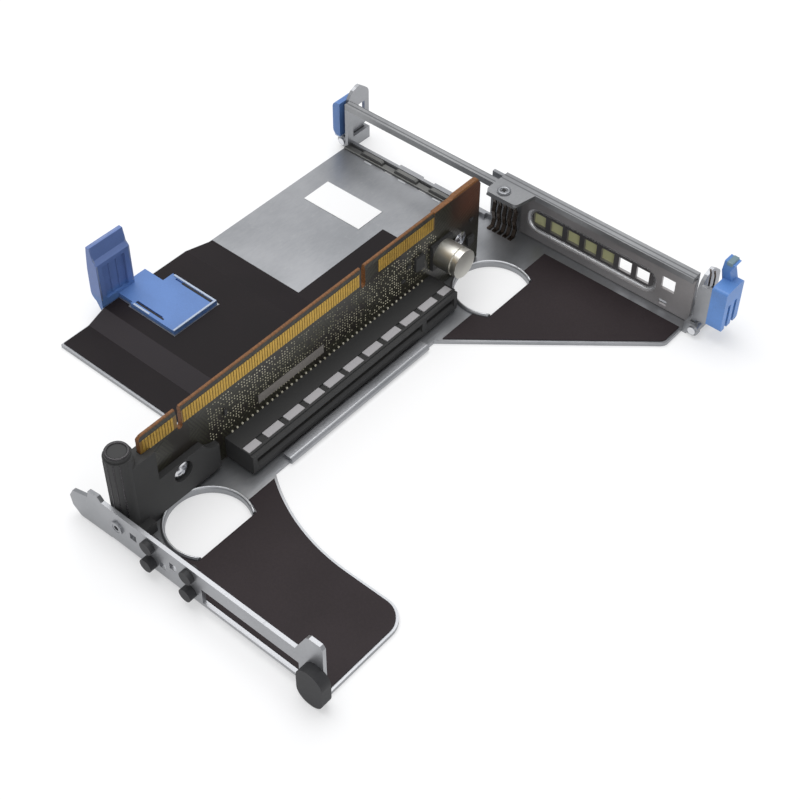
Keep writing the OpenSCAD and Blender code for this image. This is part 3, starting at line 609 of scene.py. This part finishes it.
# Paler blue: a painted highlight on the clip's rim and on the upright's rounded edges, with a darker tone for
# the parts that stand up.
RIM_BLUE = TouchPlastic("rim_blue", flat=srgb(168, 180, 198), upright=srgb(128, 142, 172))
LATCH_BLUE = TouchPlastic("latch_blue", flat=srgb(84, 126, 186), upright=srgb(84, 126, 186))
PAD_BLUE = TouchPlastic("pad_blue", flat=srgb(82, 116, 170), upright=srgb(82, 116, 170))
TEAL = TouchPlastic("teal_tip", flat=srgb(104, 128, 138), upright=srgb(104, 128, 138))
BOARD = BoardMask("board_mask")
TINTED = TintedFilm("tinted_film")
PAPER = Paper("label_paper")


# Geometry helpers


def metres(*lengths: float) -> tuple[float, ...]:
    """Turns millimetres into metres."""
    return tuple(length * MM for length in lengths)


def angles(count: int) -> list[float]:
    """Gives the angles of equal steps round a circle."""
    return [2 * math.pi * i / count for i in range(count)]


def circle(x: float, y: float, z: float, radius: float, sides: int = 24) -> list[tuple[float, float, float]]:
    """Gives the points of a level circle."""
    return [(x + radius * math.cos(t), y + radius * math.sin(t), z) for t in angles(sides)]


def linked(name: str, data: bpy.types.ID) -> bpy.types.Object:
    """Makes an object of a mesh, lamp or camera and links it to the scene."""
    made = bpy.data.objects.new(name, data)
    bpy.context.scene.collection.objects.link(made)
    return made


class GeometryTree:
    """A Geometry Nodes tree with named inputs for its sizes."""

    def __init__(self, name: str) -> None:
        """Starts a tree with one geometry input and output."""
        self.tree = bpy.data.node_groups.new(name, "GeometryNodeTree")
        self.tree.interface.new_socket("Geometry", in_out="INPUT", socket_type="NodeSocketGeometry")
        self.tree.interface.new_socket("Geometry", in_out="OUTPUT", socket_type="NodeSocketGeometry")
        self.entry = self.tree.nodes.new("NodeGroupInput")
        self.exit = self.tree.nodes.new("NodeGroupOutput")

    def sizes(self, **kinds: str) -> list[bpy.types.NodeSocket]:
        """Adds named inputs.

        Args:
            **kinds: What each input holds, by its name.

        Returns:
            The sockets inside the tree, in the same order.
        """
        for name, kind in kinds.items():
            self.tree.interface.new_socket(name, in_out="INPUT", socket_type="NodeSocket" + kind)
        return [self.entry.outputs[name] for name in kinds]

    def node(self, kind: str, settings: Mapping[str, Any], inputs: Mapping[Any, Any]) -> bpy.types.Node:
        """Adds a node with settings first, then values or links."""
        node = self.tree.nodes.new(kind)
        for key, value in settings.items():
            setattr(node, key, value)
        for key, value in inputs.items():
            if isinstance(value, bpy.types.NodeSocket):
                self.tree.links.new(value, node.inputs[key])
            else:
                node.inputs[key].default_value = value
        return node

    def finish(self, geometry: bpy.types.NodeSocket, material: bpy.types.NodeSocket) -> bpy.types.NodeTree:
        """Ends the tree in Realize Instances and Set Material."""
        real = self.node("GeometryNodeRealizeInstances", {}, {0: geometry})
        painted = self.node("GeometryNodeSetMaterial", {}, {
            "Geometry": real.outputs[0], "Material": material})
        self.tree.links.new(painted.outputs[0], self.exit.inputs[0])
        return self.tree


def grid_tree() -> bpy.types.NodeTree:
    """Builds the tree that repeats a shape over an upright grid, leaving some places out."""
    made = bpy.data.node_groups.get("repeat_on_grid")
    if made:
        return made
    g = GeometryTree("repeat_on_grid")
    origin, rows, columns, height, length, jitter, keep, seed, paint = g.sizes(
        Origin="Vector", Rows="Int", Columns="Int", Height="Float", Length="Float",
        Jitter="Vector", Keep="Float", Seed="Int", Material="Material")
    grid = g.node("GeometryNodeMeshGrid", {}, {
        "Size X": height, "Size Y": length, "Vertices X": rows, "Vertices Y": columns})
    turned = g.node("GeometryNodeTransform", {}, {
        "Geometry": grid.outputs["Mesh"], "Translation": origin, "Rotation": (0, math.radians(-90), 0)})
    dots = g.node("GeometryNodeMeshToPoints", {}, {"Mesh": turned.outputs[0]})
    lower = g.node("ShaderNodeVectorMath", {"operation": "SCALE"}, {0: jitter, 3: -1.0})
    shift = g.node("FunctionNodeRandomValue", {"data_type": "FLOAT_VECTOR"}, {
        0: lower.outputs[0], 1: jitter, "Seed": seed})
    moved = g.node("GeometryNodeSetPosition", {}, {"Geometry": dots.outputs[0], "Offset": shift.outputs[0]})
    chance = g.node("FunctionNodeRandomValue", {"data_type": "BOOLEAN"}, {"Probability": keep, "Seed": seed})
    placed = g.node("GeometryNodeInstanceOnPoints", {}, {
        "Points": moved.outputs[0], "Selection": chance.outputs[3], "Instance": g.entry.outputs["Geometry"]})
    return g.finish(placed.outputs[0], paint)


def row_tree() -> bpy.types.NodeTree:
    """Builds the tree that repeats a shape along a straight row."""
    made = bpy.data.node_groups.get("repeat_in_row")
    if made:
        return made
    g = GeometryTree("repeat_in_row")
    start, step, count, paint = g.sizes(Start="Vector", Step="Vector", Count="Int", Material="Material")
    line = g.node("GeometryNodeMeshLine", {"mode": "OFFSET"}, {
        "Count": count, "Start Location": start, "Offset": step})
    placed = g.node("GeometryNodeInstanceOnPoints", {}, {
        "Points": line.outputs[0], "Instance": g.entry.outputs["Geometry"]})
    return g.finish(placed.outputs[0], paint)


def repeated(
    name: str, shape: bpy.types.Mesh, tree: bpy.types.NodeTree, sizes: Mapping[str, Any],
    finish: Finish, body: Body,
) -> bpy.types.Object:
    """Runs a repeating tree on a shape and keeps the plain mesh.

    Args:
        name: The new piece's name.
        shape: What is repeated.
        tree: The repeating tree.
        sizes: Its inputs by name.
        finish: The piece's finish.
        body: What it rides on.

    Returns:
        The finished piece.
    """
    source = linked(name + "_source", shape)
    modifier = source.modifiers.new("repeat", "NODES")
    modifier.node_group = tree
    sockets = {item.name: item.identifier for item in tree.interface.items_tree if item.in_out == "INPUT"}
    for key, value in sizes.items():
        modifier[sockets[key]] = value
    modifier[sockets["Material"]] = finish.material()
    bpy.context.view_layer.update()
    graph = bpy.context.evaluated_depsgraph_get()
    mesh = bpy.data.meshes.new_from_object(source.evaluated_get(graph))
    bpy.data.objects.remove(source)
    mesh.name = name
    piece = linked(name, mesh)
    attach(piece, body.value)
    log.info("%s: %d faces", name, len(mesh.polygons))
    return piece


class Shape:
    """A small mesh built from rings and prisms, in millimetres."""

    def __init__(self) -> None:
        """Starts an empty mesh."""
        self.bm = bmesh.new()

    def prism(self, outline: Sequence[Sequence[float]], thickness: Sequence[float]) -> "Shape":
        """Adds a prism.

        Args:
            outline: Points of one face, turning left seen from the end of the thickness.
            thickness: The vector to the other face.

        Returns:
            The same shape.
        """
        return self.loops([outline, [Vector(p) + Vector(thickness) for p in outline]])

    def block(self, low: Sequence[float], high: Sequence[float]) -> "Shape":
        """Adds a block between two corners."""
        (x0, y0, z0), (x1, y1, z1) = low, high
        return self.prism([(x0, y0, z0), (x1, y0, z0), (x1, y1, z0), (x0, y1, z0)], (0, 0, z1 - z0))

    def loops(self, rings: Sequence[Sequence[Sequence[float]]], closed: bool = False) -> "Shape":
        """Adds a skin over rings of points.

        Args:
            rings: Rings with the same number of points.
            closed: Whether the last ring joins the first; otherwise both ends are capped.

        Returns:
            The same shape.
        """
        made = [[self.bm.verts.new(Vector(p) * MM) for p in ring] for ring in rings]
        pairs = list(zip(made, made[1:])) + ([(made[-1], made[0])] if closed else [])
        count = len(made[0])
        for low, high in pairs:
            for i in range(count):
                j = (i + 1) % count
                self.bm.faces.new((low[i], low[j], high[j], high[i]))
        if not closed:
            self.bm.faces.new(tuple(reversed(made[0])))
            self.bm.faces.new(tuple(made[-1]))
        return self

    def tube(self, path: Sequence[Sequence[float]], radius: float, sides: int = 8) -> "Shape":
        """Adds a round bar that follows a path.

        Args:
            path: Its points.
            radius: Its radius.
            sides: How many sides it has.

        Returns:
            The same shape.
        """
        points = [Vector(p) for p in path]
        rings = []
        for i, point in enumerate(points):
            run = (points[min(i + 1, len(points) - 1)] - points[max(i - 1, 0)]).normalized()
            side = run.orthogonal() if abs(run.z) > 0.95 else run.cross(Vector((0, 0, 1)))
            side.normalize()
            up = side.cross(run)
            rings.append([point + (side * math.cos(t) + up * math.sin(t)) * radius for t in angles(sides)])
        return self.loops(rings)

    def mesh(self, name: str) -> bpy.types.Mesh:
        """Closes the shape and gives its mesh."""
        bmesh.ops.recalc_face_normals(self.bm, faces=self.bm.faces)
        mesh = bpy.data.meshes.new(name)
        self.bm.to_mesh(mesh)
        self.bm.free()
        return mesh

    def piece(
        self, name: str, finish: Finish, body: Body, bevel: float = 0.0, smooth: bool = False,
    ) -> bpy.types.Object:
        """Makes the shape a piece that rides on a body.

        Args:
            name: The piece's name.
            finish: Its finish.
            body: What it rides on.
            bevel: Width of rounded edges in millimetres, or 0.
            smooth: Whether its faces are smooth.

        Returns:
            The piece.
        """
        mesh = self.mesh(name)
        mesh.materials.append(finish.material())
        piece = linked(name, mesh)
        if bevel > 0:
            rounding = piece.modifiers.new("rounded", "BEVEL")
            rounding.width = bevel * MM
            rounding.segments = 2
            rounding.limit_method = "ANGLE"
        if smooth:
            mesh.polygons.foreach_set("use_smooth", [True] * len(mesh.polygons))
        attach(piece, body.value)
        log.info("%s: %d faces", name, len(mesh.polygons))
        return piece


def dress(finish: Finish, *nodes: str) -> None:
    """Gives CAD nodes a finish.

    Args:
        finish: The finish.
        *nodes: The nodes' names.
    """
    for node in nodes:
        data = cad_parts[node].data
        data.materials.clear()
        data.materials.append(finish.material())
        log.info("%s: %s", node, finish.name)


# Sub-assemblies, with lengths in millimetres


def corners(node: str) -> tuple[Vector, Vector]:
    """Gives a CAD node's lowest and highest corners in millimetres."""
    low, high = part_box(node)
    return low / MM, high / MM


@dataclass
class Tray:
    """The folded sheet, its films, label, rivets and bumpers."""

    hole_r: float = 12.45
    hole_chord: float = 6.9
    hole_x: float = 13.3
    hole_y: tuple[float, float] = (-64.7, 59.0)
    lip_top: float = 2.1
    lip_steps: int = 48
    bead_r: float = 0.28
    guide_left: float = 4.0
    guide_back: float = 1.2
    guide_pitch: float = 15.0
    guide_count: int = 3
    band: tuple[float, float, float] = (57.0, 2.4, 0.7)
    band_gap: float = 0.2
    arch: Outline = ((0, 0), (0.4, 0.9), (1.2, 1.3), (8.8, 1.3), (9.6, 0.9), (10, 0))
    arch_depth: float = 1.5
    arch_start: tuple[float, float, float] = (7.0, -0.5, 0.6)
    slot: tuple[float, float, float] = (3.2, 0.7, 0.1)
    slot_start: tuple[float, float, float] = (10.0, -3.6, 0.0)

    def build(self) -> None:
        """Dresses the tray and what is fixed to it."""
        self.lip_beads()
        self.card_guide()
        dress(STEEL, "tray", "flange_rivet", "rail_stud")
        dress(FILM, "flap_film")
        dress(WING_FILM, "front_film", "rear_film")
        dress(PAPER, "flap_label")
        dress(RUBBER, "flange_bumpers", "end_bumper")

    def lip_beads(self) -> None:
        """Adds bright beads along the rolled lips' crest as a painted highlight."""
        shape = Shape()
        first = math.acos(self.hole_chord / self.hole_r)
        span = 2 * (math.pi - first)
        arc = [first + span * i / self.lip_steps for i in range(self.lip_steps + 1)]
        x, r = self.hole_x, self.hole_r
        for y in self.hole_y:
            path = [(x + r * math.cos(t), y + r * math.sin(t), self.lip_top) for t in arc]
            # Painted highlight: bright beads along the lips' crest.
            shape.tube(path, self.bead_r, 6)
        shape.piece("lip_highlights", BRIGHT_STEEL, Body.CAGE, smooth=True)

    def card_guide(self) -> None:
        """Adds the pressed card guide along the flap's opening."""
        left = corners("tray")[0].x + self.guide_left
        back = corners("cross_bar")[1].y - self.guide_back
        length, width, height = self.band
        low = (left, back - self.band_gap - width, SHEET)
        high = (left + length, back - self.band_gap, SHEET + height)
        Shape().block(low, high).piece("guide_band", GUIDE_STEEL, Body.CAGE, 0.25)
        arch = Shape().prism([(u, 0, v) for u, v in self.arch], (0, -self.arch_depth, 0)).mesh("guide_arch")
        slot = Shape().block((0, 0, 0), self.slot).mesh("guide_slot")
        for name, shape, (dx, dy, dz), finish in (
            ("guide_arches", arch, self.arch_start, GUIDE_STEEL),
            ("guide_slots", slot, self.slot_start, BRIGHT_STEEL),
        ):
            repeated(name, shape, row_tree(), {
                "Start": metres(left + dx, back + dy, SHEET + dz),
                "Step": metres(self.guide_pitch, 0.0, 0.0),
                "Count": self.guide_count,
            }, finish, Body.CAGE)


@dataclass
class SlotWall:
    """The cover, rail and bar of the card opening."""

    pocket_x: tuple[float, float] = (4.4, 55.7)
    pocket_z: tuple[float, float] = (3.2, 14.4)
    pocket_r: float = 5.2
    pocket_profile: Outline = ((0.04, 0.0), (0.35, 0.36), (1.0, 0.68), (2.3, 0.88))
    corner_steps: int = 6
    front_y: float = 86.66
    floor_y: float = 87.56
    ring_profile: Outline = ((0.1, 0.0), (0.5, 0.22), (1.0, 0.16), (1.3, 0.0))
    socket: float = 0.7
    socket_height: float = 0.04
    leaf: Outline = (
        (0.0, 0.0), (2.4, 0.0), (3.4, 2.4), (2.6, 6.2), (3.3, 9.4), (2.2, 12.2),
        (1.8, 12.0), (2.7, 9.4), (2.0, 6.2), (2.8, 2.6), (2.0, 0.4), (0.0, 0.4),
    )
    leaf_width: float = 1.3
    spring_x: float = -6.2
    spring_back: float = 4.6
    spring_count: int = 5
    spring_pitch: float = 2.1

    def build(self) -> None:
        """Dresses the slot wall."""
        dress(COVER_STEEL, "slot_cover")
        dress(RAIL_STEEL, "top_rail", "cross_bar")
        dress(TINTED, "vent_backing")
        self.pocket_wall()
        self.springs()
        self.stud_socket()

    def outline(self, inset: float, y: float) -> list[tuple[float, float, float]]:
        """Gives the pocket's rounded outline.

        Args:
            inset: How far inside the pocket's edge.
            y: The plane it lies in.

        Returns:
            Its points.
        """
        (left, right), (bottom, top), radius = self.pocket_x, self.pocket_z, self.pocket_r
        centres = (
            (right - radius, top - radius), (left + radius, top - radius),
            (left + radius, bottom + radius), (right - radius, bottom + radius),
        )
        points = []
        for quarter, (x, z) in enumerate(centres):
            for i in range(self.corner_steps + 1):
                t = math.radians(90 * (quarter + i / self.corner_steps))
                points.append((x + (radius - inset) * math.cos(t), y, z + (radius - inset) * math.sin(t)))
        return points

    def pocket_wall(self) -> None:
        """Adds the sloping wall round the pressed pocket, in paler steel as a painted highlight."""
        rings = [self.outline(inset, self.front_y + deep) for inset, deep in self.pocket_profile]
        rings.append(self.outline(self.pocket_profile[0][0], self.floor_y))
        Shape().loops(rings, closed=True).piece("pocket_wall", POCKET_HIGHLIGHT_STEEL, Body.CAGE, smooth=True)

    def stud_socket(self) -> None:
        """Adds the pressed ring of the rail's stud and a black square on its top as painted shade of the
        socket.
        """
        low, high = corners("rail_stud")
        x, y, r = (low.x + high.x) / 2, (low.y + high.y) / 2, (high.x - low.x) / 2
        rings = [circle(x, y, high.z + rise, r - inset) for inset, rise in self.ring_profile]
        Shape().loops(rings, closed=True).piece("stud_ring", STEEL, Body.CAGE, smooth=True)
        # Painted shade: a thin black square where the stud's socket is.
        foot = (x - self.socket, y - self.socket, high.z)
        head = (x + self.socket, y + self.socket, high.z + self.socket_height)
        Shape().block(foot, head).piece("stud_socket", DEEP_BLACK, Body.CAGE)

    def springs(self) -> None:
        """Adds the grounding springs beside the cover."""
        leaf = Shape().prism([(0, u, v) for u, v in self.leaf], (self.leaf_width, 0, 0)).mesh("spring_leaf")
        repeated("grounding_springs", leaf, row_tree(), {
            "Start": metres(self.spring_x, corners("cross_bar")[1].y - self.spring_back, SHEET),
            "Step": metres(self.spring_pitch, 0.0, 0.0),
            "Count": self.spring_count,
        }, SPRING_METAL, Body.CAGE)


@dataclass
class RiserBoard:
    """The upright board with its contacts, vias, chips and slot."""

    thickness: float = 1.6
    via_radius: float = 0.22
    via_height: float = 0.06
    via_sides: int = 8
    via_pitch: float = 1.0
    via_z: tuple[float, float] = (11.9, 25.2)
    via_start: float = -49.5
    via_length: float = 96.0
    via_jitter: tuple[float, float, float] = (0.0, 0.00012, 0.00018)
    via_share: float = 0.66
    via_seeds: tuple[int, int] = (3, 8)
    post: tuple[float, float] = (-1.8, -79.3)
    post_profile: Outline = ((3.4, -0.1), (3.35, 0.3), (2.9, 0.4), (2.6, 0.2), (2.55, -0.1))
    rib_angles: tuple[int, ...] = (250, 275, 300, 325)
    rib_place: float = 3.95
    rib_radius: float = 0.22
    rib_ends: tuple[float, float] = (1.4, 1.6)

    def build(self) -> None:
        """Dresses the board and adds its small repeated parts."""
        dress(BOARD, "riser_board")
        dress(GOLD, "edge_contacts", "slot_contacts")
        dress(TIN, "solder_tails")
        dress(BLACK, "slot_housing", "board_chips", "capacitor_base", "board_support")
        dress(GREY, "slot_windows")
        dress(LABEL_GREY, "board_label")
        dress(CAN, "capacitor_can")
        dress(CHROME, "board_screws")
        self.post_cap()
        self.vias()

    def post_cap(self) -> None:
        """Adds the rolled rim and the ribs of the guide post."""
        x, y = self.post
        top = corners("board_support")[1].z
        cap = Shape().loops([circle(x, y, top + rise, r) for r, rise in self.post_profile], closed=True)
        low, high = self.rib_ends[0], top - self.rib_ends[1]
        for angle in self.rib_angles:
            t = math.radians(angle)
            px, py = x + self.rib_place * math.cos(t), y + self.rib_place * math.sin(t)
            cap.tube([(px, py, low), (px, py, high)], self.rib_radius, 6)
        cap.piece("post_rim", GLOSS_BLACK, Body.CAGE, smooth=True)

    def vias(self) -> None:
        """Adds the rings of the plated holes on both faces."""
        (low, high), r = self.via_z, self.via_radius
        faces = (("vias_front", 0.0, self.via_height), ("vias_back", -self.thickness, -self.via_height))
        for (name, x, out), seed in zip(faces, self.via_seeds):
            ends = [[(end, r * math.cos(t), r * math.sin(t)) for t in angles(self.via_sides)]
                    for end in sorted((0.0, out))]
            ring = Shape().loops(ends).mesh(name + "_shape")
            repeated(name, ring, grid_tree(), {
                "Origin": metres(x, self.via_start + self.via_length / 2, (low + high) / 2),
                "Rows": int((high - low) / self.via_pitch) + 1,
                "Columns": int(self.via_length / self.via_pitch) + 1,
                "Height": (high - low) * MM,
                "Length": self.via_length * MM,
                "Jitter": self.via_jitter,
                "Keep": self.via_share,
                "Seed": seed,
            }, VIA, Body.CAGE)


@dataclass
class TouchPoint:
    """The blue handle on the flap."""

    clip_x: tuple[float, float] = (-63.5, -44.3)
    clip_y: tuple[float, float] = (-21.7, -3.9)
    clip_z: float = 5.3
    rim: float = 0.7
    rim_height: float = 0.35
    low_rim: float = 0.6
    low_rim_end: float = 8.0
    margin: float = 1.0
    wall: float = 4.35
    width: float = 13.4
    foot: float = 6.4
    edge: Outline = ((0.02, 6.4), (0.02, 20.0), (-1.2, 21.6), (-2.0, 25.9))
    edge_inset: float = 0.35
    edge_radius: float = 0.32
    crest: tuple[float, float] = (-2.6, 25.95)
    rib_y: tuple[float, float] = (5.2, 8.2)
    rib_width: float = 0.5
    rib_top: float = 18.6

    def build(self) -> None:
        """Dresses the handle and adds its details."""
        dress(BLUE, "touch_handle")
        self.clip()
        self.upright()

    def clip(self) -> None:
        """Adds the raised rim of the clip plate in paler blue as a painted highlight, and black strips as
        painted shade in its gaps.
        """
        (x0, x1), (y0, y1), z, rim = self.clip_x, self.clip_y, self.clip_z, self.rim
        left, inner, top = x0 + self.margin, x1 - rim, z + self.rim_height
        rims = Shape().block((inner, y0, z), (x1, y1, top)).block((left, y1 - rim, z), (inner, y1, top))
        rims.block((left, y0, z), (x0 + self.low_rim_end, y0 + rim, z + self.rim_height * self.low_rim))
        # Painted highlight: the rim is paler blue.
        rims.piece("clip_rim", RIM_BLUE, Body.CAGE, 0.12)
        # Painted shade: thin black strips in the gaps of the clip plate.
        gap_shade = Shape().block((x0 + 5.5, y1 - rim - 1.0, z), (inner - 0.3, y1 - rim - 0.15, z + 0.06))
        gap_shade.block((left, y0 + 1.2, z), (x0 + 13, y0 + 1.8, z + 0.04))
        gap_shade.piece("clip_gap_shade", DEEP_BLACK, Body.CAGE)

    def upright(self) -> None:
        """Adds the rounded edges of the upright plate in paler blue as a painted highlight, and its ribs."""
        low = corners("touch_handle")[0]
        wall, y0, y1 = low.x + self.wall, low.y, low.y + self.width
        shape = Shape()
        # Painted highlight: the rounded edges and the crest are paler blue.
        for y in (y0 + self.edge_inset, y1 - self.edge_inset):
            shape.tube([(wall + dx, y, z) for dx, z in self.edge], self.edge_radius)
        x, z = wall + self.crest[0], self.crest[1]
        shape.tube([(x, y0 + 0.4, z), (x, y1 - 0.4, z)], 0.3)
        shape.piece("upright_edge_highlights", RIM_BLUE, Body.CAGE, smooth=True)
        ribs = Shape()
        for y in (y0 + place for place in self.rib_y):
            ribs.block((wall - 1.05, y, self.foot), (wall - 0.35, y + self.rib_width, self.rib_top))
        ribs.piece("upright_ribs", BLUE, Body.CAGE, 0.15)


@dataclass
class Latches:
    """The two card latches and their pins."""

    rivets: Outline = ((3.2, -3.0), (5.4, -4.6), (6.0, -7.4))
    rivet_inset: float = 0.62
    rivet_profile: Outline = ((0.55, 0.0), (0.5, 0.25), (0.2, 0.4))
    prongs: Outline = ((-1.2, 0.0), (-0.2, -0.8))
    prong_radius: float = 0.28
    slot_y: tuple[float, float] = (2.2, 5.6)

    def build(self) -> None:
        """Dresses both latches and adds their small parts."""
        dress(STEEL, "left_latch_plate", "right_latch_plate")
        dress(PAD_BLUE, "left_latch_pad")
        dress(LATCH_BLUE, "right_latch_body")
        dress(CHROME, "left_latch_pin", "right_latch_pin")
        self.left_details()
        self.right_details()

    def left_details(self) -> None:
        """Adds the pale foot under the pad and the rivets of the plate."""
        low, high = corners("left_latch_pad")
        foot = Shape().block(
            (low.x + 0.4, low.y + 0.2, low.z - 0.8), (high.x - 0.2, high.y - 0.2, low.z + 0.6))
        foot.piece("left_pad_foot", RIM_BLUE, Body.LEFT_LATCH, 0.3)
        low, high = corners("left_latch_plate")
        rivets = Shape()
        for y, z in self.rivets:
            spot = Vector((high.x - self.rivet_inset, low.y + y, high.z + z))
            rivets.loops([
                [spot + Vector((out, r * math.cos(t), r * math.sin(t))) for t in angles(12)]
                for r, out in self.rivet_profile
            ])
        rivets.piece("left_plate_rivets", BRIGHT_STEEL, Body.LEFT_LATCH)

    def right_details(self) -> None:
        """Adds the tip, the prongs and black strips as painted shade in the slots of the right latch."""
        low, high = corners("right_latch_body")
        top = high.z
        tip = Shape().block((low.x + 1.2, high.y - 3.9, top - 1.3), (low.x + 3.2, high.y + 0.2, top + 0.1))
        tip.piece("latch_tip", TEAL, Body.RIGHT_LATCH, 0.3)
        prongs = Shape()
        for shift, drop in self.prongs:
            x, y, bend = low.x + shift, low.y + 3.0 + shift, top - 4 + drop
            prongs.tube([(x, y, top - 9), (x, y, bend), (x - 0.7, y + 0.5, bend + 1.4)], self.prong_radius, 6)
        prongs.piece("latch_prongs", SPRING_METAL, Body.RIGHT_LATCH, smooth=True)
        # Painted shade: black strips where the latch's slots are.
        slot_shade = Shape()
        for y in (low.y + place for place in self.slot_y):
            slot_shade.block((high.x - 1.22, y + 0.05, low.z + 0.3), (high.x - 1.05, y + 1.3, top - 13))
        slot_shade.piece("latch_slot_shade", DEEP_BLACK, Body.RIGHT_LATCH)


@dataclass
class Studio:
    """Floor, lamps and camera, in metres."""

    eye: Vector = field(default_factory=lambda: Vector((0.22321, -0.23522, 0.33118)))
    right: Vector = field(default_factory=lambda: Vector((0.760534, 0.649249, 0.008039)))
    up: Vector = field(default_factory=lambda: Vector((-0.475728, 0.548758, 0.687421)))
    lens: float = 70.34
    sensor: float = 36.0
    clip: tuple[float, float] = (0.02, 20.0)
    sky: Colour = (0.97, 0.98, 1.0)
    sky_level: float = 0.62
    floor_half: float = 3000.0
    floor_depth: float = 20.0
    floor_gap: float = 0.02
    target: tuple[float, float, float] = (0.0, 0.0, 0.01)

    def build(self) -> None:
        """Sets the stage."""
        self.floor()
        self.world()
        self.area("overhead", (-0.25, 0.15, 0.95), 0.9, 7.0)
        self.area("side_fill", (0.85, -0.55, 0.5), 0.6, 1.6)
        self.camera()

    def floor(self) -> None:
        """Lays the pale floor just under the tray."""
        half = self.floor_half
        shape = Shape().block((-half, -half, -self.floor_depth), (half, half, -self.floor_gap))
        mesh = shape.mesh("floor")
        mesh.materials.append(Ground("pale_floor").material())
        linked("floor", mesh)

    def world(self) -> None:
        """Sets a soft world that the camera sees as plain white."""
        world = bpy.data.worlds.new("studio")
        bpy.context.scene.world = world
        world.use_nodes = True
        tree = world.node_tree
        tree.nodes.clear()
        mixed = tree.nodes.new("ShaderNodeMixShader")
        for index, colour, level in ((1, self.sky, self.sky_level), (2, (1.0, 1.0, 1.0), 1.0)):
            light = tree.nodes.new("ShaderNodeBackground")
            light.inputs["Color"].default_value = (*colour, 1.0)
            light.inputs["Strength"].default_value = level
            tree.links.new(light.outputs[0], mixed.inputs[index])
        ray = tree.nodes.new("ShaderNodeLightPath")
        out = tree.nodes.new("ShaderNodeOutputWorld")
        tree.links.new(ray.outputs["Is Camera Ray"], mixed.inputs[0])
        tree.links.new(mixed.outputs[0], out.inputs["Surface"])

    def area(self, name: str, place: Sequence[float], size: float, watts: float) -> None:
        """Hangs one square lamp that points at the cage.

        Args:
            name: Its name.
            place: Where it hangs.
            size: Its side.
            watts: Its power.
        """
        data = bpy.data.lights.new(name, "AREA")
        data.shape = "SQUARE"
        data.size = size
        data.energy = watts
        lamp = linked(name, data)
        lamp.location = place
        lamp.rotation_euler = (Vector(self.target) - Vector(place)).to_track_quat("-Z", "Y").to_euler()

    def camera(self) -> None:
        """Sets the camera."""
        data = bpy.data.cameras.new("camera")
        data.sensor_width = self.sensor
        data.lens = self.lens
        data.clip_start, data.clip_end = self.clip
        camera = linked("camera", data)
        back = self.right.cross(self.up)
        turn = Matrix((self.right, self.up, back)).transposed()
        camera.matrix_world = Matrix.Translation(self.eye) @ turn.to_4x4()
        bpy.context.scene.camera = camera
        bpy.context.scene.view_settings.view_transform = "Standard"


def main() -> None:
    """Builds every part of the scene."""
    logging.basicConfig(level=logging.INFO, format="%(message)s")
    for part in (Tray(), SlotWall(), RiserBoard(), TouchPoint(), Latches(), Studio()):
        part.build()
        log.info("built %s", type(part).__name__)


if __name__ == "__main__":
    main()
